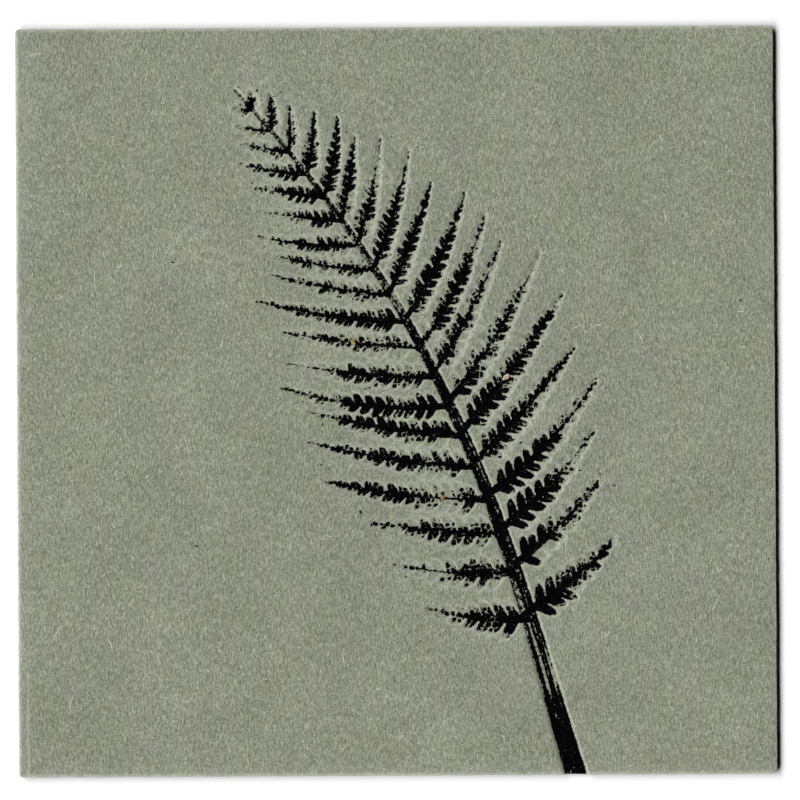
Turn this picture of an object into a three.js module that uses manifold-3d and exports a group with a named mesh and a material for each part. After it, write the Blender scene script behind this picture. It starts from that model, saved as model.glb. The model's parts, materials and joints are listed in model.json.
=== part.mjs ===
// A square card of grey-green board, with one fern frond printed on its face by pressing an
// inked plant into it. The plant left a sunk bed in the board, the black ink lies on the floor
// of that bed, and a few flecks of dry husk have stayed stuck in the ink.
//
// Millimetres, +Z up. The card lies flat, printed face up. The origin is at the centre of its
// underside, +X runs to the right of the print and +Y to its top.
import * as THREE from "three";
import { mergeVertices } from "three/addons/utils/BufferGeometryUtils.js";
import Module from "manifold-3d";

const wasm = await Module();
wasm.setup();

// The board: trimmed by hand, so its right edge leans in a hair towards the top.
const BOARD_WIDTH = 120;
const BOARD_HEIGHT = 118.4;
const BOARD_THICKNESS = 1.2;
const TOP_SHORTFALL = 0.12;
const CORNER_RADIUS = 0.7;

// The pressed bed. Leaves sink a little way in, and the thick stem sinks deeper.
const LEAF_BED_Z = 1.0;
const STEM_BED_Z = 0.8;
const INK_TOP_Z = 1.12;
const BED_MARGIN = 0.5;

// The frond's stem enters over the bottom edge, right of centre, and arches up to the left.
const STEM_PATH = new THREE.CubicBezierCurve(
  new THREE.Vector2(29, -62),
  new THREE.Vector2(19, -30),
  new THREE.Vector2(13, 8),
  new THREE.Vector2(-25, 49),
);
const STEM_BASE_WIDTH = 3.6;
const STEM_TIP_WIDTH = 0.5;
const STEM_TAPER = 0.75;
const STEM_POINT = 0.6;
const STEM_STEPS = 36;

// Leaflets stand in pairs along the stem, closer, shorter and more upright towards the tip. Each
// differs a little from its neighbours in angle (degrees), length and bend, as on a real frond.
const LEAFLET_PAIRS = 19;
const FIRST_PAIR_AT = 0.235;
const LAST_PAIR_AT = 0.97;
const PAIR_SPREAD = 0.86;
const PAIR_STAGGER = 0.004;
const LONGEST_LEAFLET = 25;
const LENGTH_PLAY = 0.09;
const WIDEST_SPACING = 6.6;
const NARROWEST_SPACING = 2.9;
const SPACING_TAPER = 0.8;
const LEAFLET_WIDTH_SHARE = 0.43;
const LEAFLET_TIP_LOSS = 0.86;
const LEAFLET_TAPER = 1.7;
const BASE_ANGLE = 76;
const TIP_ANGLE = 44;
const ANGLE_PLAY = 7;
const BEND = 0.15;
const BEND_PLAY = 0.12;
const LENGTH_SEED = 40;
const BEND_SEED = 80;
const BED_STEPS = 7;

// Lobes run down both edges of a leaflet, as far apart as a share of its half width.
const FEWEST_LOBES = 3;
const LOBE_PITCH_SHARE = 0.78;
const LOBES_START = 0.06;
const LOBES_SPAN = 0.94;
const LOBE_FOOT = 0.24;
const LOBE_SHOULDER = { along: 0.28, out: 0.93 };
const LOBE_CREST = { along: 0.82, out: 1 };

// Flecks of husk: which pair they lie on, which side, how far along, and their length and turn.
const HUSK_HEIGHT = 0.14;
const HUSK_SIDES = 10;
const HUSK_FLECKS = [
  { name: "husk_fleck_1", pair: 5, side: 1, along: 0.42, length: 1.3, width: 0.7, turn: 0.5 },
  { name: "husk_fleck_2", pair: 8, side: -1, along: 0.5, length: 1.0, width: 0.6, turn: 2.1 },
  { name: "husk_fleck_3", pair: 3, side: -1, along: 0.3, length: 0.9, width: 0.55, turn: 1.2 },
];

const MATERIALS = {
  board: new THREE.MeshStandardMaterial({ color: 0x8d917f, roughness: 0.95, metalness: 0 }),
  ink: new THREE.MeshStandardMaterial({ color: 0x0b0b0c, roughness: 0.6, metalness: 0 }),
  husk: new THREE.MeshStandardMaterial({ color: 0xc9b48c, roughness: 0.8, metalness: 0 }),
};

// A small uneven number from -1 to 1, the same on every run.
function wobble(n) {
  return Math.sin(n * 2.399963 + 0.7) * Math.cos(n * 1.3 + 0.2);
}

function mix(a, b, t) {
  return a + (b - a) * t;
}

function stemHalfWidth(at) {
  return mix(STEM_BASE_WIDTH, STEM_TIP_WIDTH, Math.pow(at, STEM_TAPER)) / 2;
}

// How long a leaflet is, as a share of the longest: short at the bottom of the blade, longest a
// third of the way up, and a tenth of that at the tip.
function lengthShare(up) {
  const lowest = 0.62;
  const fullBy = 0.3;
  const fallFrom = 0.25;
  const fallPower = 1.35;
  const tip = 0.1;
  const rise = mix(lowest, 1, Math.sin((Math.min(up / fullBy, 1) * Math.PI) / 2));
  const fall = 1 - Math.pow(Math.max(up - fallFrom, 0) / (1 - fallFrom), fallPower) * (1 - tip);
  return rise * fall;
}

// One leaflet: where its midrib starts, which way it runs, how it bends and how wide it is.
function leaflet(pair, side) {
  const up = pair / (LEAFLET_PAIRS - 1);
  const stagger = side * PAIR_STAGGER * (1 - up);
  const at = mix(FIRST_PAIR_AT, LAST_PAIR_AT, Math.pow(up, PAIR_SPREAD)) + stagger;
  const root = STEM_PATH.getPointAt(at);
  const tangent = STEM_PATH.getTangentAt(at);
  const seed = pair * 2 + (side > 0 ? 1 : 0);
  const degrees = mix(BASE_ANGLE, TIP_ANGLE, up) + ANGLE_PLAY * wobble(seed);
  const angle = THREE.MathUtils.degToRad(side * degrees);
  const heading = tangent.clone().rotateAround(new THREE.Vector2(), -angle);
  const spacing = mix(WIDEST_SPACING, NARROWEST_SPACING, Math.pow(up, SPACING_TAPER));
  return {
    root,
    heading,
    tangent,
    length: LONGEST_LEAFLET * lengthShare(up) * (1 + LENGTH_PLAY * wobble(seed + LENGTH_SEED)),
    halfWidth: spacing * LEAFLET_WIDTH_SHARE,
    bend: BEND + BEND_PLAY * wobble(seed + BEND_SEED),
  };
}

// A point beside a leaflet's midrib: s runs from its root to its tip, off is the distance to
// the left of it.
function besideMidrib(leaf, s, off) {
  const reach = leaf.length * s;
  const point = leaf.root
    .clone()
    .addScaledVector(leaf.heading, reach)
    .addScaledVector(leaf.tangent, leaf.bend * reach * s);
  const forward = leaf.heading.clone().addScaledVector(leaf.tangent, 2 * leaf.bend * s).normalize();
  return point.add(new THREE.Vector2(-forward.y, forward.x).multiplyScalar(off));
}

function widthShare(s) {
  return 1 - LEAFLET_TIP_LOSS * Math.pow(s, LEAFLET_TAPER);
}

// The inked outline, with forward-leaning lobes down both edges and a pointed tip.
function lobedOutline(leaf) {
  const wanted = Math.round(leaf.length / (leaf.halfWidth * LOBE_PITCH_SHARE));
  const lobes = Math.max(FEWEST_LOBES, wanted);
  const pitch = LOBES_SPAN / lobes;
  const edge = [{ s: 0, off: LOBE_FOOT * leaf.halfWidth }];
  for (let i = 0; i < lobes; i += 1) {
    const s = LOBES_START + i * pitch;
    const reach = leaf.halfWidth * widthShare(s);
    edge.push({ s, off: LOBE_FOOT * reach });
    edge.push({ s: s + LOBE_SHOULDER.along * pitch, off: LOBE_SHOULDER.out * reach });
    edge.push({ s: s + LOBE_CREST.along * pitch, off: LOBE_CREST.out * reach });
  }
  return bothEdges(leaf, edge, 1);
}

// The bed's outline: the same blade without its lobes, wider all round by the margin.
function plainOutline(leaf) {
  const edge = [];
  for (let i = 0; i <= BED_STEPS; i += 1) {
    const s = i / BED_STEPS;
    edge.push({ s, off: leaf.halfWidth * widthShare(s) + BED_MARGIN });
  }
  return bothEdges(leaf, edge, 1 + BED_MARGIN / leaf.length);
}

function bothEdges(leaf, edge, tip) {
  const left = edge.map(({ s, off }) => besideMidrib(leaf, s, off));
  const right = edge.map(({ s, off }) => besideMidrib(leaf, s, -off));
  return [...right, besideMidrib(leaf, tip, 0), ...left.reverse()];
}

// The stem's outline, wider on each side by grow.
function stemOutline(grow) {
  const left = [];
  const right = [];
  for (let i = 0; i <= STEM_STEPS; i += 1) {
    const at = i / STEM_STEPS;
    const point = STEM_PATH.getPointAt(at);
    const tangent = STEM_PATH.getTangentAt(at);
    const across = new THREE.Vector2(-tangent.y, tangent.x).multiplyScalar(stemHalfWidth(at) + grow);
    left.push(point.clone().add(across));
    right.push(point.clone().sub(across));
  }
  const end = STEM_PATH.getPointAt(1);
  const tip = end.addScaledVector(STEM_PATH.getTangentAt(1), STEM_POINT + grow);
  return [...right, tip, ...left.reverse()];
}

// The board's outline, with each corner rounded a little by handling.
function boardOutline() {
  const x = BOARD_WIDTH / 2;
  const y = BOARD_HEIGHT / 2;
  const corners = [
    new THREE.Vector2(-x, -y),
    new THREE.Vector2(x, -y),
    new THREE.Vector2(x - TOP_SHORTFALL, y),
    new THREE.Vector2(-x, y),
  ];
  const shape = new THREE.Shape();
  corners.forEach((corner, i) => {
    const before = corners[(i + 3) % 4];
    const after = corners[(i + 1) % 4];
    const enter = corner.clone().lerp(before, CORNER_RADIUS / corner.distanceTo(before));
    const leave = corner.clone().lerp(after, CORNER_RADIUS / corner.distanceTo(after));
    if (i === 0) shape.moveTo(enter.x, enter.y);
    else shape.lineTo(enter.x, enter.y);
    shape.quadraticCurveTo(corner.x, corner.y, leave.x, leave.y);
  });
  shape.closePath();
  return shape;
}

// A closed plate over an outline, from one height to another, as a solid for joining and cutting.
function plate(outline, low, high) {
  const shape = outline instanceof THREE.Shape ? outline : new THREE.Shape(outline);
  const geometry = new THREE.ExtrudeGeometry(shape, {
    depth: high - low,
    bevelEnabled: false,
    curveSegments: 5,
  });
  geometry.translate(0, 0, low);
  // The caps' heights are set again after the move, so that pieces which meet share them exactly.
  const position = geometry.getAttribute("position");
  for (let i = 0; i < position.count; i += 1) {
    position.setZ(i, position.getZ(i) > (low + high) / 2 ? high : low);
  }
  geometry.deleteAttribute("normal");
  geometry.deleteAttribute("uv");
  const merged = mergeVertices(geometry, 1e-4);
  return new wasm.Manifold(
    new wasm.Mesh({
      numProp: 3,
      vertProperties: merged.getAttribute("position").array,
      triVerts: new Uint32Array(merged.index.array),
    }),
  );
}

function geometryOf(solid) {
  const mesh = solid.getMesh();
  const geometry = new THREE.BufferGeometry();
  geometry.setAttribute("position", new THREE.BufferAttribute(mesh.vertProperties, 3));
  geometry.setIndex(new THREE.BufferAttribute(mesh.triVerts, 1));
  geometry.computeVertexNormals();
  return geometry;
}

function named(name, geometry, material) {
  const mesh = new THREE.Mesh(geometry, material);
  mesh.name = name;
  return mesh;
}

const leaflets = [];
for (let pair = 0; pair < LEAFLET_PAIRS; pair += 1) {
  leaflets.push(leaflet(pair, -1), leaflet(pair, 1));
}

function board() {
  const above = BOARD_THICKNESS + 1;
  let solid = plate(boardOutline(), 0, BOARD_THICKNESS);
  for (const leaf of leaflets) {
    solid = solid.subtract(plate(plainOutline(leaf), LEAF_BED_Z, above));
  }
  solid = solid.subtract(plate(stemOutline(BED_MARGIN), STEM_BED_Z, above));
  return named("board", geometryOf(solid), MATERIALS.board);
}

// The ink is thicker along the stem, where it fills the deeper groove, and stops at the board's
// bottom edge.
function inkFrond() {
  let solid = plate(stemOutline(0), STEM_BED_Z, INK_TOP_Z);
  for (const leaf of leaflets) {
    solid = solid.add(plate(lobedOutline(leaf), LEAF_BED_Z, INK_TOP_Z));
  }
  solid = solid.intersect(plate(boardOutline(), 0, BOARD_THICKNESS));
  return named("ink_frond", geometryOf(solid), MATERIALS.ink);
}

// A low lens of husk with a flat underside, lying on the ink.
function huskFleck({ name, pair, side, along, length, width, turn }) {
  const profile = [
    new THREE.Vector2(0, 0),
    new THREE.Vector2(0.5, 0),
    new THREE.Vector2(0.36, 0.7),
    new THREE.Vector2(0, 1),
  ];
  const geometry = new THREE.LatheGeometry(profile, HUSK_SIDES);
  geometry.rotateX(Math.PI / 2);
  geometry.scale(length, width, HUSK_HEIGHT);
  geometry.rotateZ(turn);
  const spot = besideMidrib(leaflet(pair, side), along, 0);
  const mesh = named(name, geometry, MATERIALS.husk);
  mesh.position.set(spot.x, spot.y, INK_TOP_Z);
  return mesh;
}

const card = new THREE.Group();
card.name = "nature_print_card";
card.add(board(), inkFrond(), ...HUSK_FLECKS.map(huskFleck));

export default card;
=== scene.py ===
# %% [markdown]
# # A nature-printed card
# The real thing is a square of solid grey-green board, a little over a millimetre thick. A fern frond
# was rolled with black ink, laid face down on the board and run through a press. It left two things:
# a soft dent in its own shape, and a thin film of ink on the floor of that dent. A few bits of dry
# plant stayed stuck in the ink.
#
# Such a card is easy to make as a box with a picture on it, but then nothing is pressed, and the edge
# of the ink is only as sharp as the picture. Here the dent and the ink are both geometry, and both
# come from one formula for the frond, so that they always fit each other.

import json
import math

import bmesh
import bpy
import numpy as np
from mathutils import Matrix, Vector
from mathutils.bvhtree import BVHTree

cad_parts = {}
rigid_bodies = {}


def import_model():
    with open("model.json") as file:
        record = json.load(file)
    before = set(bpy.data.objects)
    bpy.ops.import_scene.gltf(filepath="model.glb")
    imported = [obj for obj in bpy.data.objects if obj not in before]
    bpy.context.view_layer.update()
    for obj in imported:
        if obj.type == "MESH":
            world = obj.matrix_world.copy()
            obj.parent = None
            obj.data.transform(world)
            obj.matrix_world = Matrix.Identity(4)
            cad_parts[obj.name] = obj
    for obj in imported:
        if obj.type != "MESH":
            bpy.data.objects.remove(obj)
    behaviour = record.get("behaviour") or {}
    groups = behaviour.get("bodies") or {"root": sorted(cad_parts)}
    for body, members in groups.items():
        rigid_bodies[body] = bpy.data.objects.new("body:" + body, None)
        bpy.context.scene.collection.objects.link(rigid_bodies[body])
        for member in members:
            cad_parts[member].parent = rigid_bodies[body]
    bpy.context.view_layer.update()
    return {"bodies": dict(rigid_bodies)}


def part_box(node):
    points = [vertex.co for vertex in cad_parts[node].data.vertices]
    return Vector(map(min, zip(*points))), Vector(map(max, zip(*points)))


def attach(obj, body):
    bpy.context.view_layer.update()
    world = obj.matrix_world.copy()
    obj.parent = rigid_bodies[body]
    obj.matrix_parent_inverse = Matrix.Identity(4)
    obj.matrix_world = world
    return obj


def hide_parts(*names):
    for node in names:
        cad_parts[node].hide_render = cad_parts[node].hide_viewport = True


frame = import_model()
MM = 0.001

board_low, board_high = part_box("board")
WIDTH = board_high.x - board_low.x
HEIGHT = board_high.y - board_low.y
THICKNESS = board_high.z
print("the board's sides in mm:", [round(side / MM, 2) for side in (WIDTH, HEIGHT, THICKNESS)])

# %% [markdown]
# ## Helpers for every material
# A colour picked from a swatch is an sRGB value, and a shader wants linear light, so one function
# turns the first into the second. Another adds a node with its settings and its links in one line,
# which keeps each material short enough to read as a recipe. It takes a socket by its name, or by its
# number where several sockets share one name, as on a Math node.

# %% Colour and node helpers
def linear(hex_colour):
    """An sRGB hex value as the linear colour that a shader takes."""
    channels = [int(hex_colour[i:i + 2], 16) / 255 for i in (1, 3, 5)]
    light = [c / 12.92 if c <= 0.04045 else ((c + 0.055) / 1.055) ** 2.4 for c in channels]
    return (*light, 1.0)


def in_use(sockets, name=None):
    """A socket by its number, or the first one in use that has the name. No name means any."""
    if isinstance(name, int):
        return sockets[name]
    return next(socket for socket in sockets if socket.enabled and name in (None, socket.name))


def node(tree, kind, inputs=None, stops=(), **settings):
    """Adds a node. inputs gives each socket a value, another node's output, or another node, which
    means its first output. stops are the places and colours of a colour ramp, from low to high."""
    made = tree.nodes.new(kind)
    for name, value in settings.items():
        setattr(made, name, value)
    for name, value in (inputs or {}).items():
        socket = in_use(made.inputs, name)
        if isinstance(value, bpy.types.Node):
            value = in_use(value.outputs)
        if isinstance(value, bpy.types.NodeSocket):
            tree.links.new(value, socket)
        else:
            socket.default_value = value
    for number, (place, colour) in enumerate(stops):
        marks = made.color_ramp.elements
        mark = marks[number] if number < len(marks) else marks.new(1.0)
        mark.position, mark.color = place, linear(colour)
    return made


def new_material(name):
    """An empty material with its output, ready for nodes."""
    material = bpy.data.materials.new(name)
    material.use_nodes = True
    material.node_tree.nodes.clear()
    return material, material.node_tree


print("mid grey-green in linear light:", [round(c, 3) for c in linear("#888C7B")])

# %% [markdown]
# ## The frond as a formula
# A fern frond is regular: a stem, pairs of leaflets that shorten towards the tip, and lobes along each
# leaflet. So it isn't drawn but worked out. The stem is a curve that four handles shape, and each
# leaflet starts on it, leans forward and bends a little. These are the same rules and sizes that the
# measured model was built with.

# %% The stem
STEM_HANDLES = np.array([(29, -62), (19, -30), (13, 8), (-25, 49)]) * MM
STEM_BASE_WIDTH, STEM_TIP_WIDTH = 3.6 * MM, 0.5 * MM
STEM_TAPER = 0.75
# How far the stem reaches past the end of its middle line.
STEM_POINT = 0.6 * MM
STEM_SAMPLES = 400


def stem_curve(t):
    """The stem's middle line for a row of values from 0 to 1, as a cubic Bezier curve."""
    a, b, c, d = STEM_HANDLES
    t = np.asarray(t)[:, None]
    return a * (1 - t) ** 3 + 3 * b * t * (1 - t) ** 2 + 3 * c * t ** 2 * (1 - t) + d * t ** 3


stem_line = stem_curve(np.linspace(0, 1, STEM_SAMPLES + 1))
stem_steps = np.linalg.norm(np.diff(stem_line, axis=0), axis=1)
stem_length = stem_steps.sum()
stem_share = np.concatenate([[0], np.cumsum(stem_steps)]) / stem_length
stem_slope = np.gradient(stem_line, axis=0)
stem_slope /= np.linalg.norm(stem_slope, axis=1)[:, None]


def along_stem(values, share):
    """A row of values given at each sample of the stem, read at a share of its length."""
    return np.stack([np.interp(share, stem_share, column) for column in values.T], axis=-1)


def stem_half_width(share):
    """Half the stem's width at a share of its length."""
    return (STEM_BASE_WIDTH + (STEM_TIP_WIDTH - STEM_BASE_WIDTH) * share ** STEM_TAPER) / 2


print("the stem is", round(stem_length / MM, 1), "mm long")

# %% The leaflets
LEAFLET_PAIRS = 19
# Where the first and the last pair sit, as shares of the stem, how the pairs close up towards the
# tip, and how far the two leaflets of a pair are staggered.
FIRST_PAIR_AT, LAST_PAIR_AT = 0.235, 0.97
PAIR_SPREAD, PAIR_STAGGER = 0.86, 0.004
# The longest leaflet, the lowest and the topmost as shares of it, and between which places up the
# blade the lengths stop rising and start to fall.
LONGEST_LEAFLET = 25 * MM
LOWEST_SHARE, TIP_SHARE = 0.62, 0.1
FULL_BY, FALL_FROM, FALL_POWER = 0.3, 0.25, 1.35
# The room from one leaflet to the next at the bottom and at the top, and half a leaflet's width as a
# share of it.
WIDEST_SPACING, NARROWEST_SPACING = 6.6 * MM, 2.9 * MM
SPACING_TAPER = 0.8
LEAFLET_WIDTH_SHARE = 0.43
# How many degrees leaflets turn from the stem's direction, how they bend, and how much each differs.
BASE_ANGLE, TIP_ANGLE, ANGLE_PLAY = 76, 44, 7
LENGTH_PLAY, LENGTH_SEED = 0.09, 40
BEND, BEND_PLAY, BEND_SEED = 0.15, 0.12, 80
# How far apart lobes are as a share of half the leaflet's width, the fewest, and how much each differs.
LOBE_PITCH_SHARE, FEWEST_LOBES = 0.78, 3
LOBE_LENGTH_PLAY, LOBE_BREADTH_PLAY, LOBE_SHIFT_PLAY = 0.07, 0.06, 0.10
LOBE_SEED, SPARE_LOBES = 1000, 4
# The two waves whose product makes the leaflets' small differences.
FAST_WAVE, FAST_START = 2.399963, 0.7
SLOW_WAVE, SLOW_START = 1.3, 0.2


def wobble(n):
    """A small uneven number from -1 to 1, the same on every run."""
    return math.sin(n * FAST_WAVE + FAST_START) * math.cos(n * SLOW_WAVE + SLOW_START)


def mix(a, b, t):
    """The value a share t of the way from a to b."""
    return a + (b - a) * t


def length_share(up):
    """A leaflet's length as a share of the longest one's, by its place up the blade."""
    rise = mix(LOWEST_SHARE, 1, math.sin(min(up / FULL_BY, 1) * math.pi / 2))
    fall = 1 - (max(up - FALL_FROM, 0) / (1 - FALL_FROM)) ** FALL_POWER * (1 - TIP_SHARE)
    return rise * fall


def leaflet(pair, side):
    """Where a leaflet starts, which way it runs, how it bends, and its lobes' small differences."""
    up = pair / (LEAFLET_PAIRS - 1)
    share = mix(FIRST_PAIR_AT, LAST_PAIR_AT, up ** PAIR_SPREAD) + side * PAIR_STAGGER * (1 - up)
    forward = along_stem(stem_slope, share)
    forward /= np.linalg.norm(forward)
    seed = pair * 2 + (1 if side > 0 else 0)
    turn = -side * math.radians(mix(BASE_ANGLE, TIP_ANGLE, up) + ANGLE_PLAY * wobble(seed))
    heading = np.array([
        forward[0] * math.cos(turn) - forward[1] * math.sin(turn),
        forward[0] * math.sin(turn) + forward[1] * math.cos(turn),
    ])
    length = LONGEST_LEAFLET * length_share(up) * (1 + LENGTH_PLAY * wobble(seed + LENGTH_SEED))
    half_width = mix(WIDEST_SPACING, NARROWEST_SPACING, up ** SPACING_TAPER) * LEAFLET_WIDTH_SHARE
    lobes = max(FEWEST_LOBES, round(length / (half_width * LOBE_PITCH_SHARE)))
    both_rows = (2, lobes + SPARE_LOBES)
    draw = np.random.default_rng(LOBE_SEED + seed)
    return {
        "root": along_stem(stem_line, share),
        "heading": heading,
        "forward": forward,
        "side": side,
        "length": length,
        "half_width": half_width,
        "bend": BEND + BEND_PLAY * wobble(seed + BEND_SEED),
        "lobes": lobes,
        "lobe_length": draw.normal(1.0, LOBE_LENGTH_PLAY, both_rows),
        "lobe_breadth": draw.normal(1.0, LOBE_BREADTH_PLAY, both_rows),
        "lobe_shift": draw.uniform(-LOBE_SHIFT_PLAY, LOBE_SHIFT_PLAY, both_rows),
        "lobe_ink": draw.uniform(0, 1, both_rows),
    }


def on_midrib(leaf, s):
    """The point of a leaflet's midrib at a share of its length."""
    return leaf["root"] + leaf["length"] * (leaf["heading"] * s + leaf["forward"] * leaf["bend"] * s * s)


leaflets = [leaflet(pair, side) for pair in range(LEAFLET_PAIRS) for side in (-1, 1)]
print(len(leaflets), "leaflets, with", 2 * sum(leaf["lobes"] for leaf in leaflets), "lobes")

# %% [markdown]
# ## Distances instead of outlines
# For the dent and the ink it is enough to know, at any point of the card, how far inside the plant
# that point lies. Such a distance can be softened for the dent, roughened for the ink, and cut
# wherever a grid needs an edge. Each leaflet gives the distance in its own directions, along its
# midrib and away from it, so that its lobes and veins follow its bend. Whatever is uneven on the
# real card comes from a smooth random field, each with a seed of its own.

# %% Uneven fields for anything that isn't regular
LATTICE = 256
# Between which shares of its square of the lattice a cell's own point may lie.
POINT_LIMITS = (0.12, 0.88)


def eased(t):
    """A step from 0 to 1 that starts and ends level."""
    return t * t * (3 - 2 * t)


def ramp(value, low, high):
    """0 below low, 1 above high, and a soft step between."""
    return eased(np.clip((value - low) / (high - low), 0, 1))


def uneven(x, y, size, seed):
    """A smooth random field from -1 to 1 with bumps about size across, the same on every run."""
    values = np.random.default_rng(seed).uniform(-1, 1, (LATTICE, LATTICE))
    u, v = x / size + LATTICE, y / size + LATTICE
    i, j = np.floor(u).astype(int), np.floor(v).astype(int)
    fu, fv = eased(u - i), eased(v - j)
    i, j, i1, j1 = i % LATTICE, j % LATTICE, (i + 1) % LATTICE, (j + 1) % LATTICE
    low = values[i, j] * (1 - fu) + values[i1, j] * fu
    high = values[i, j1] * (1 - fu) + values[i1, j1] * fu
    return low * (1 - fv) + high * fv


def uneven_cells(x, y, size, seed):
    """For a pattern of uneven cells: how far a point is from the nearest border between two of them,
    and a number from 0 to 1 that belongs to its cell."""
    draw = np.random.default_rng(seed)
    jitter = draw.uniform(*POINT_LIMITS, (LATTICE, LATTICE, 2))
    numbers = draw.uniform(0, 1, (LATTICE, LATTICE))
    u, v = x / size + LATTICE, y / size + LATTICE
    i, j = np.floor(u).astype(int), np.floor(v).astype(int)
    nearest, second = np.full(u.shape, np.inf), np.full(u.shape, np.inf)
    lot = np.zeros(u.shape)
    for di in (-1, 0, 1):
        for dj in (-1, 0, 1):
            row, column = (i + di) % LATTICE, (j + dj) % LATTICE
            spot = jitter[row, column]
            away = np.hypot(i + di + spot[..., 0] - u, j + dj + spot[..., 1] - v)
            second = np.minimum(second, np.maximum(nearest, away))
            lot = np.where(away < nearest, numbers[row, column], lot)
            nearest = np.minimum(nearest, away)
    return (second - nearest) / 2 * size, lot


print("an uneven field at the origin:", round(float(uneven(np.zeros(1), np.zeros(1), 1.0, 1)[0]), 3))

# %% A leaflet's own directions
# How often a point's place along the bent midrib is bettered, and how far past its ends it may lie.
LEAF_FITS = 4
OVERRUN = 0.5
LEAFLET_TIP_LOSS, LEAFLET_TAPER = 0.86, 1.7
# Half the midrib's width in mm, at its root and at its tip.
RIB_ROOT, RIB_TIP = 0.26, 0.08
# How far to each side a leaflet's neighbourhood reaches, in halves of its width.
NEIGHBOURHOOD = 1.4


def leaf_coordinates(leaf, x, y):
    """How far along the midrib each point lies, from 0 to 1, and how far to the left of it."""
    dx, dy = x - leaf["root"][0], y - leaf["root"][1]
    (hx, hy), (tx, ty) = leaf["heading"], leaf["forward"]
    length, bend = leaf["length"], leaf["bend"]
    s = (dx * hx + dy * hy) / length
    for _ in range(LEAF_FITS):
        fx, fy = hx + 2 * bend * s * tx, hy + 2 * bend * s * ty
        away_x = dx - length * (hx * s + tx * bend * s * s)
        away_y = dy - length * (hy * s + ty * bend * s * s)
        size = fx * fx + fy * fy
        s = np.clip(s + (away_x * fx + away_y * fy) / (length * size), -OVERRUN, 1 + OVERRUN)
    return s, (away_y * fx - away_x * fy) / np.sqrt(size)


def width_share(s):
    """A leaflet's width at a share of its length, as a share of its width at the root."""
    return 1 - LEAFLET_TIP_LOSS * np.clip(s, 0, 1) ** LEAFLET_TAPER


def strip_inside(leaf, s, off, half):
    """How far inside a strip a point lies that follows the whole midrib, half of it on each side."""
    return np.minimum(half - np.abs(off), np.minimum(s, 1 - s) * leaf["length"])


def midrib_inside(leaf, s, off):
    """How far inside the leaflet's midrib a point lies."""
    return strip_inside(leaf, s, off, mix(RIB_ROOT, RIB_TIP, np.clip(s, 0, 1)) * MM)


def near(leaf, x, y, margin):
    """Which points lie in a leaflet's neighbourhood, so that only those are worked out."""
    tip = on_midrib(leaf, 1)
    edge = leaf["half_width"] * NEIGHBOURHOOD + margin
    low, high = np.minimum(leaf["root"], tip) - edge, np.maximum(leaf["root"], tip) + edge
    return (x > low[0]) & (x < high[0]) & (y > low[1]) & (y < high[1])


print("the longest leaflet reaches", round(max(leaf["length"] for leaf in leaflets) / MM, 1), "mm")

# %% The lobes of a leaflet
# Where the lobes start along the leaflet and how much of it they take, as shares of its length.
LOBES_START, LOBES_SPAN = 0.06, 0.94
# The angle between a lobe and the midrib.
LOBE_LEAN = math.radians(64)
LOBE_SLANT = math.sin(LOBE_LEAN)
# The left row sits this share of the lobes' spacing nearer to the leaflet's tip than the right row.
LEFT_ROW_AHEAD = 0.275
# How much of its room a lobe fills, how it narrows, and how square its sides and its tip are.
LOBE_FILL, LOBE_TAPER = 0.93, 0.22
SIDE_POWER, TIP_POWER = 2.6, 4.5
# Distances in metres that nothing on the card reaches.
FAR_OUTSIDE, FAR_INSIDE = -1.0, 1.0


def lobe_fields(leaf, s, off):
    """How far inside its nearest lobe a point lies, with the point's place in that lobe and its ink:
    across the lobe from its vein, along the lobe as a share of it, and a number that belongs to it."""
    length, lobes = leaf["length"], leaf["lobes"]
    pitch = LOBES_SPAN / lobes * length
    out = np.abs(off)
    row = (off > 0).astype(int)
    foot = s * length - out / math.tan(LOBE_LEAN) - LOBES_START * length
    place = foot / pitch - LEFT_ROW_AHEAD * row
    r = out / LOBE_SLANT
    inside = np.full(s.shape, FAR_OUTSIDE)
    across, reach, lot = np.zeros(s.shape), np.zeros(s.shape), np.zeros(s.shape)
    for step in (-1, 0, 1):
        number = np.floor(place) + step
        index = np.clip(number, -1, lobes + 1).astype(int) + 1
        centre = number + 0.5 + leaf["lobe_shift"][row, index]
        foot_share = np.clip((centre * pitch) / length + LOBES_START, 0, 1)
        long = leaf["half_width"] * width_share(foot_share) / LOBE_SLANT
        long = long * leaf["lobe_length"][row, index]
        broad = 0.5 * pitch * LOBE_SLANT * LOBE_FILL * leaf["lobe_breadth"][row, index]
        b = (place - centre) * pitch * LOBE_SLANT
        narrowed = broad * (1 - LOBE_TAPER * np.clip(r / long, 0, 1) ** 2)
        rounded = np.abs(b / narrowed) ** SIDE_POWER + np.clip(r / long, 0, None) ** TIP_POWER
        here = (1 - rounded ** (1 / SIDE_POWER)) * broad
        here = np.where((number < 0) | (number > lobes - 1), FAR_OUTSIDE, here)
        better = here > inside
        inside = np.where(better, here, inside)
        across = np.where(better, b, across)
        reach = np.where(better, r / long, reach)
        lot = np.where(better, leaf["lobe_ink"][row, index], lot)
    return inside, across, reach, lot


print("the lobes of the first leaflet are", round(
    LOBES_SPAN * leaflets[0]["length"] / leaflets[0]["lobes"] / MM, 2), "mm apart")

# %% The stem's own directions
STEM_FITS = 3


def beside_stem(x, y, share):
    """How far each point lies ahead of a place on the stem, and how far to its left."""
    point, slope = along_stem(stem_line, share), along_stem(stem_slope, share)
    dx, dy = x - point[..., 0], y - point[..., 1]
    return dx * slope[..., 0] + dy * slope[..., 1], dy * slope[..., 0] - dx * slope[..., 1]


def stem_coordinates(x, y):
    """How far up the stem each point lies, from 0 to 1, how far to its left, and how far past it."""
    share = np.interp(y, stem_line[:, 1], stem_share)
    for _ in range(STEM_FITS):
        ahead, _ = beside_stem(x, y, share)
        share = np.clip(share + ahead / stem_length, 0, 1)
    past, off = beside_stem(x, y, share)
    return share, off, past


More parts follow.
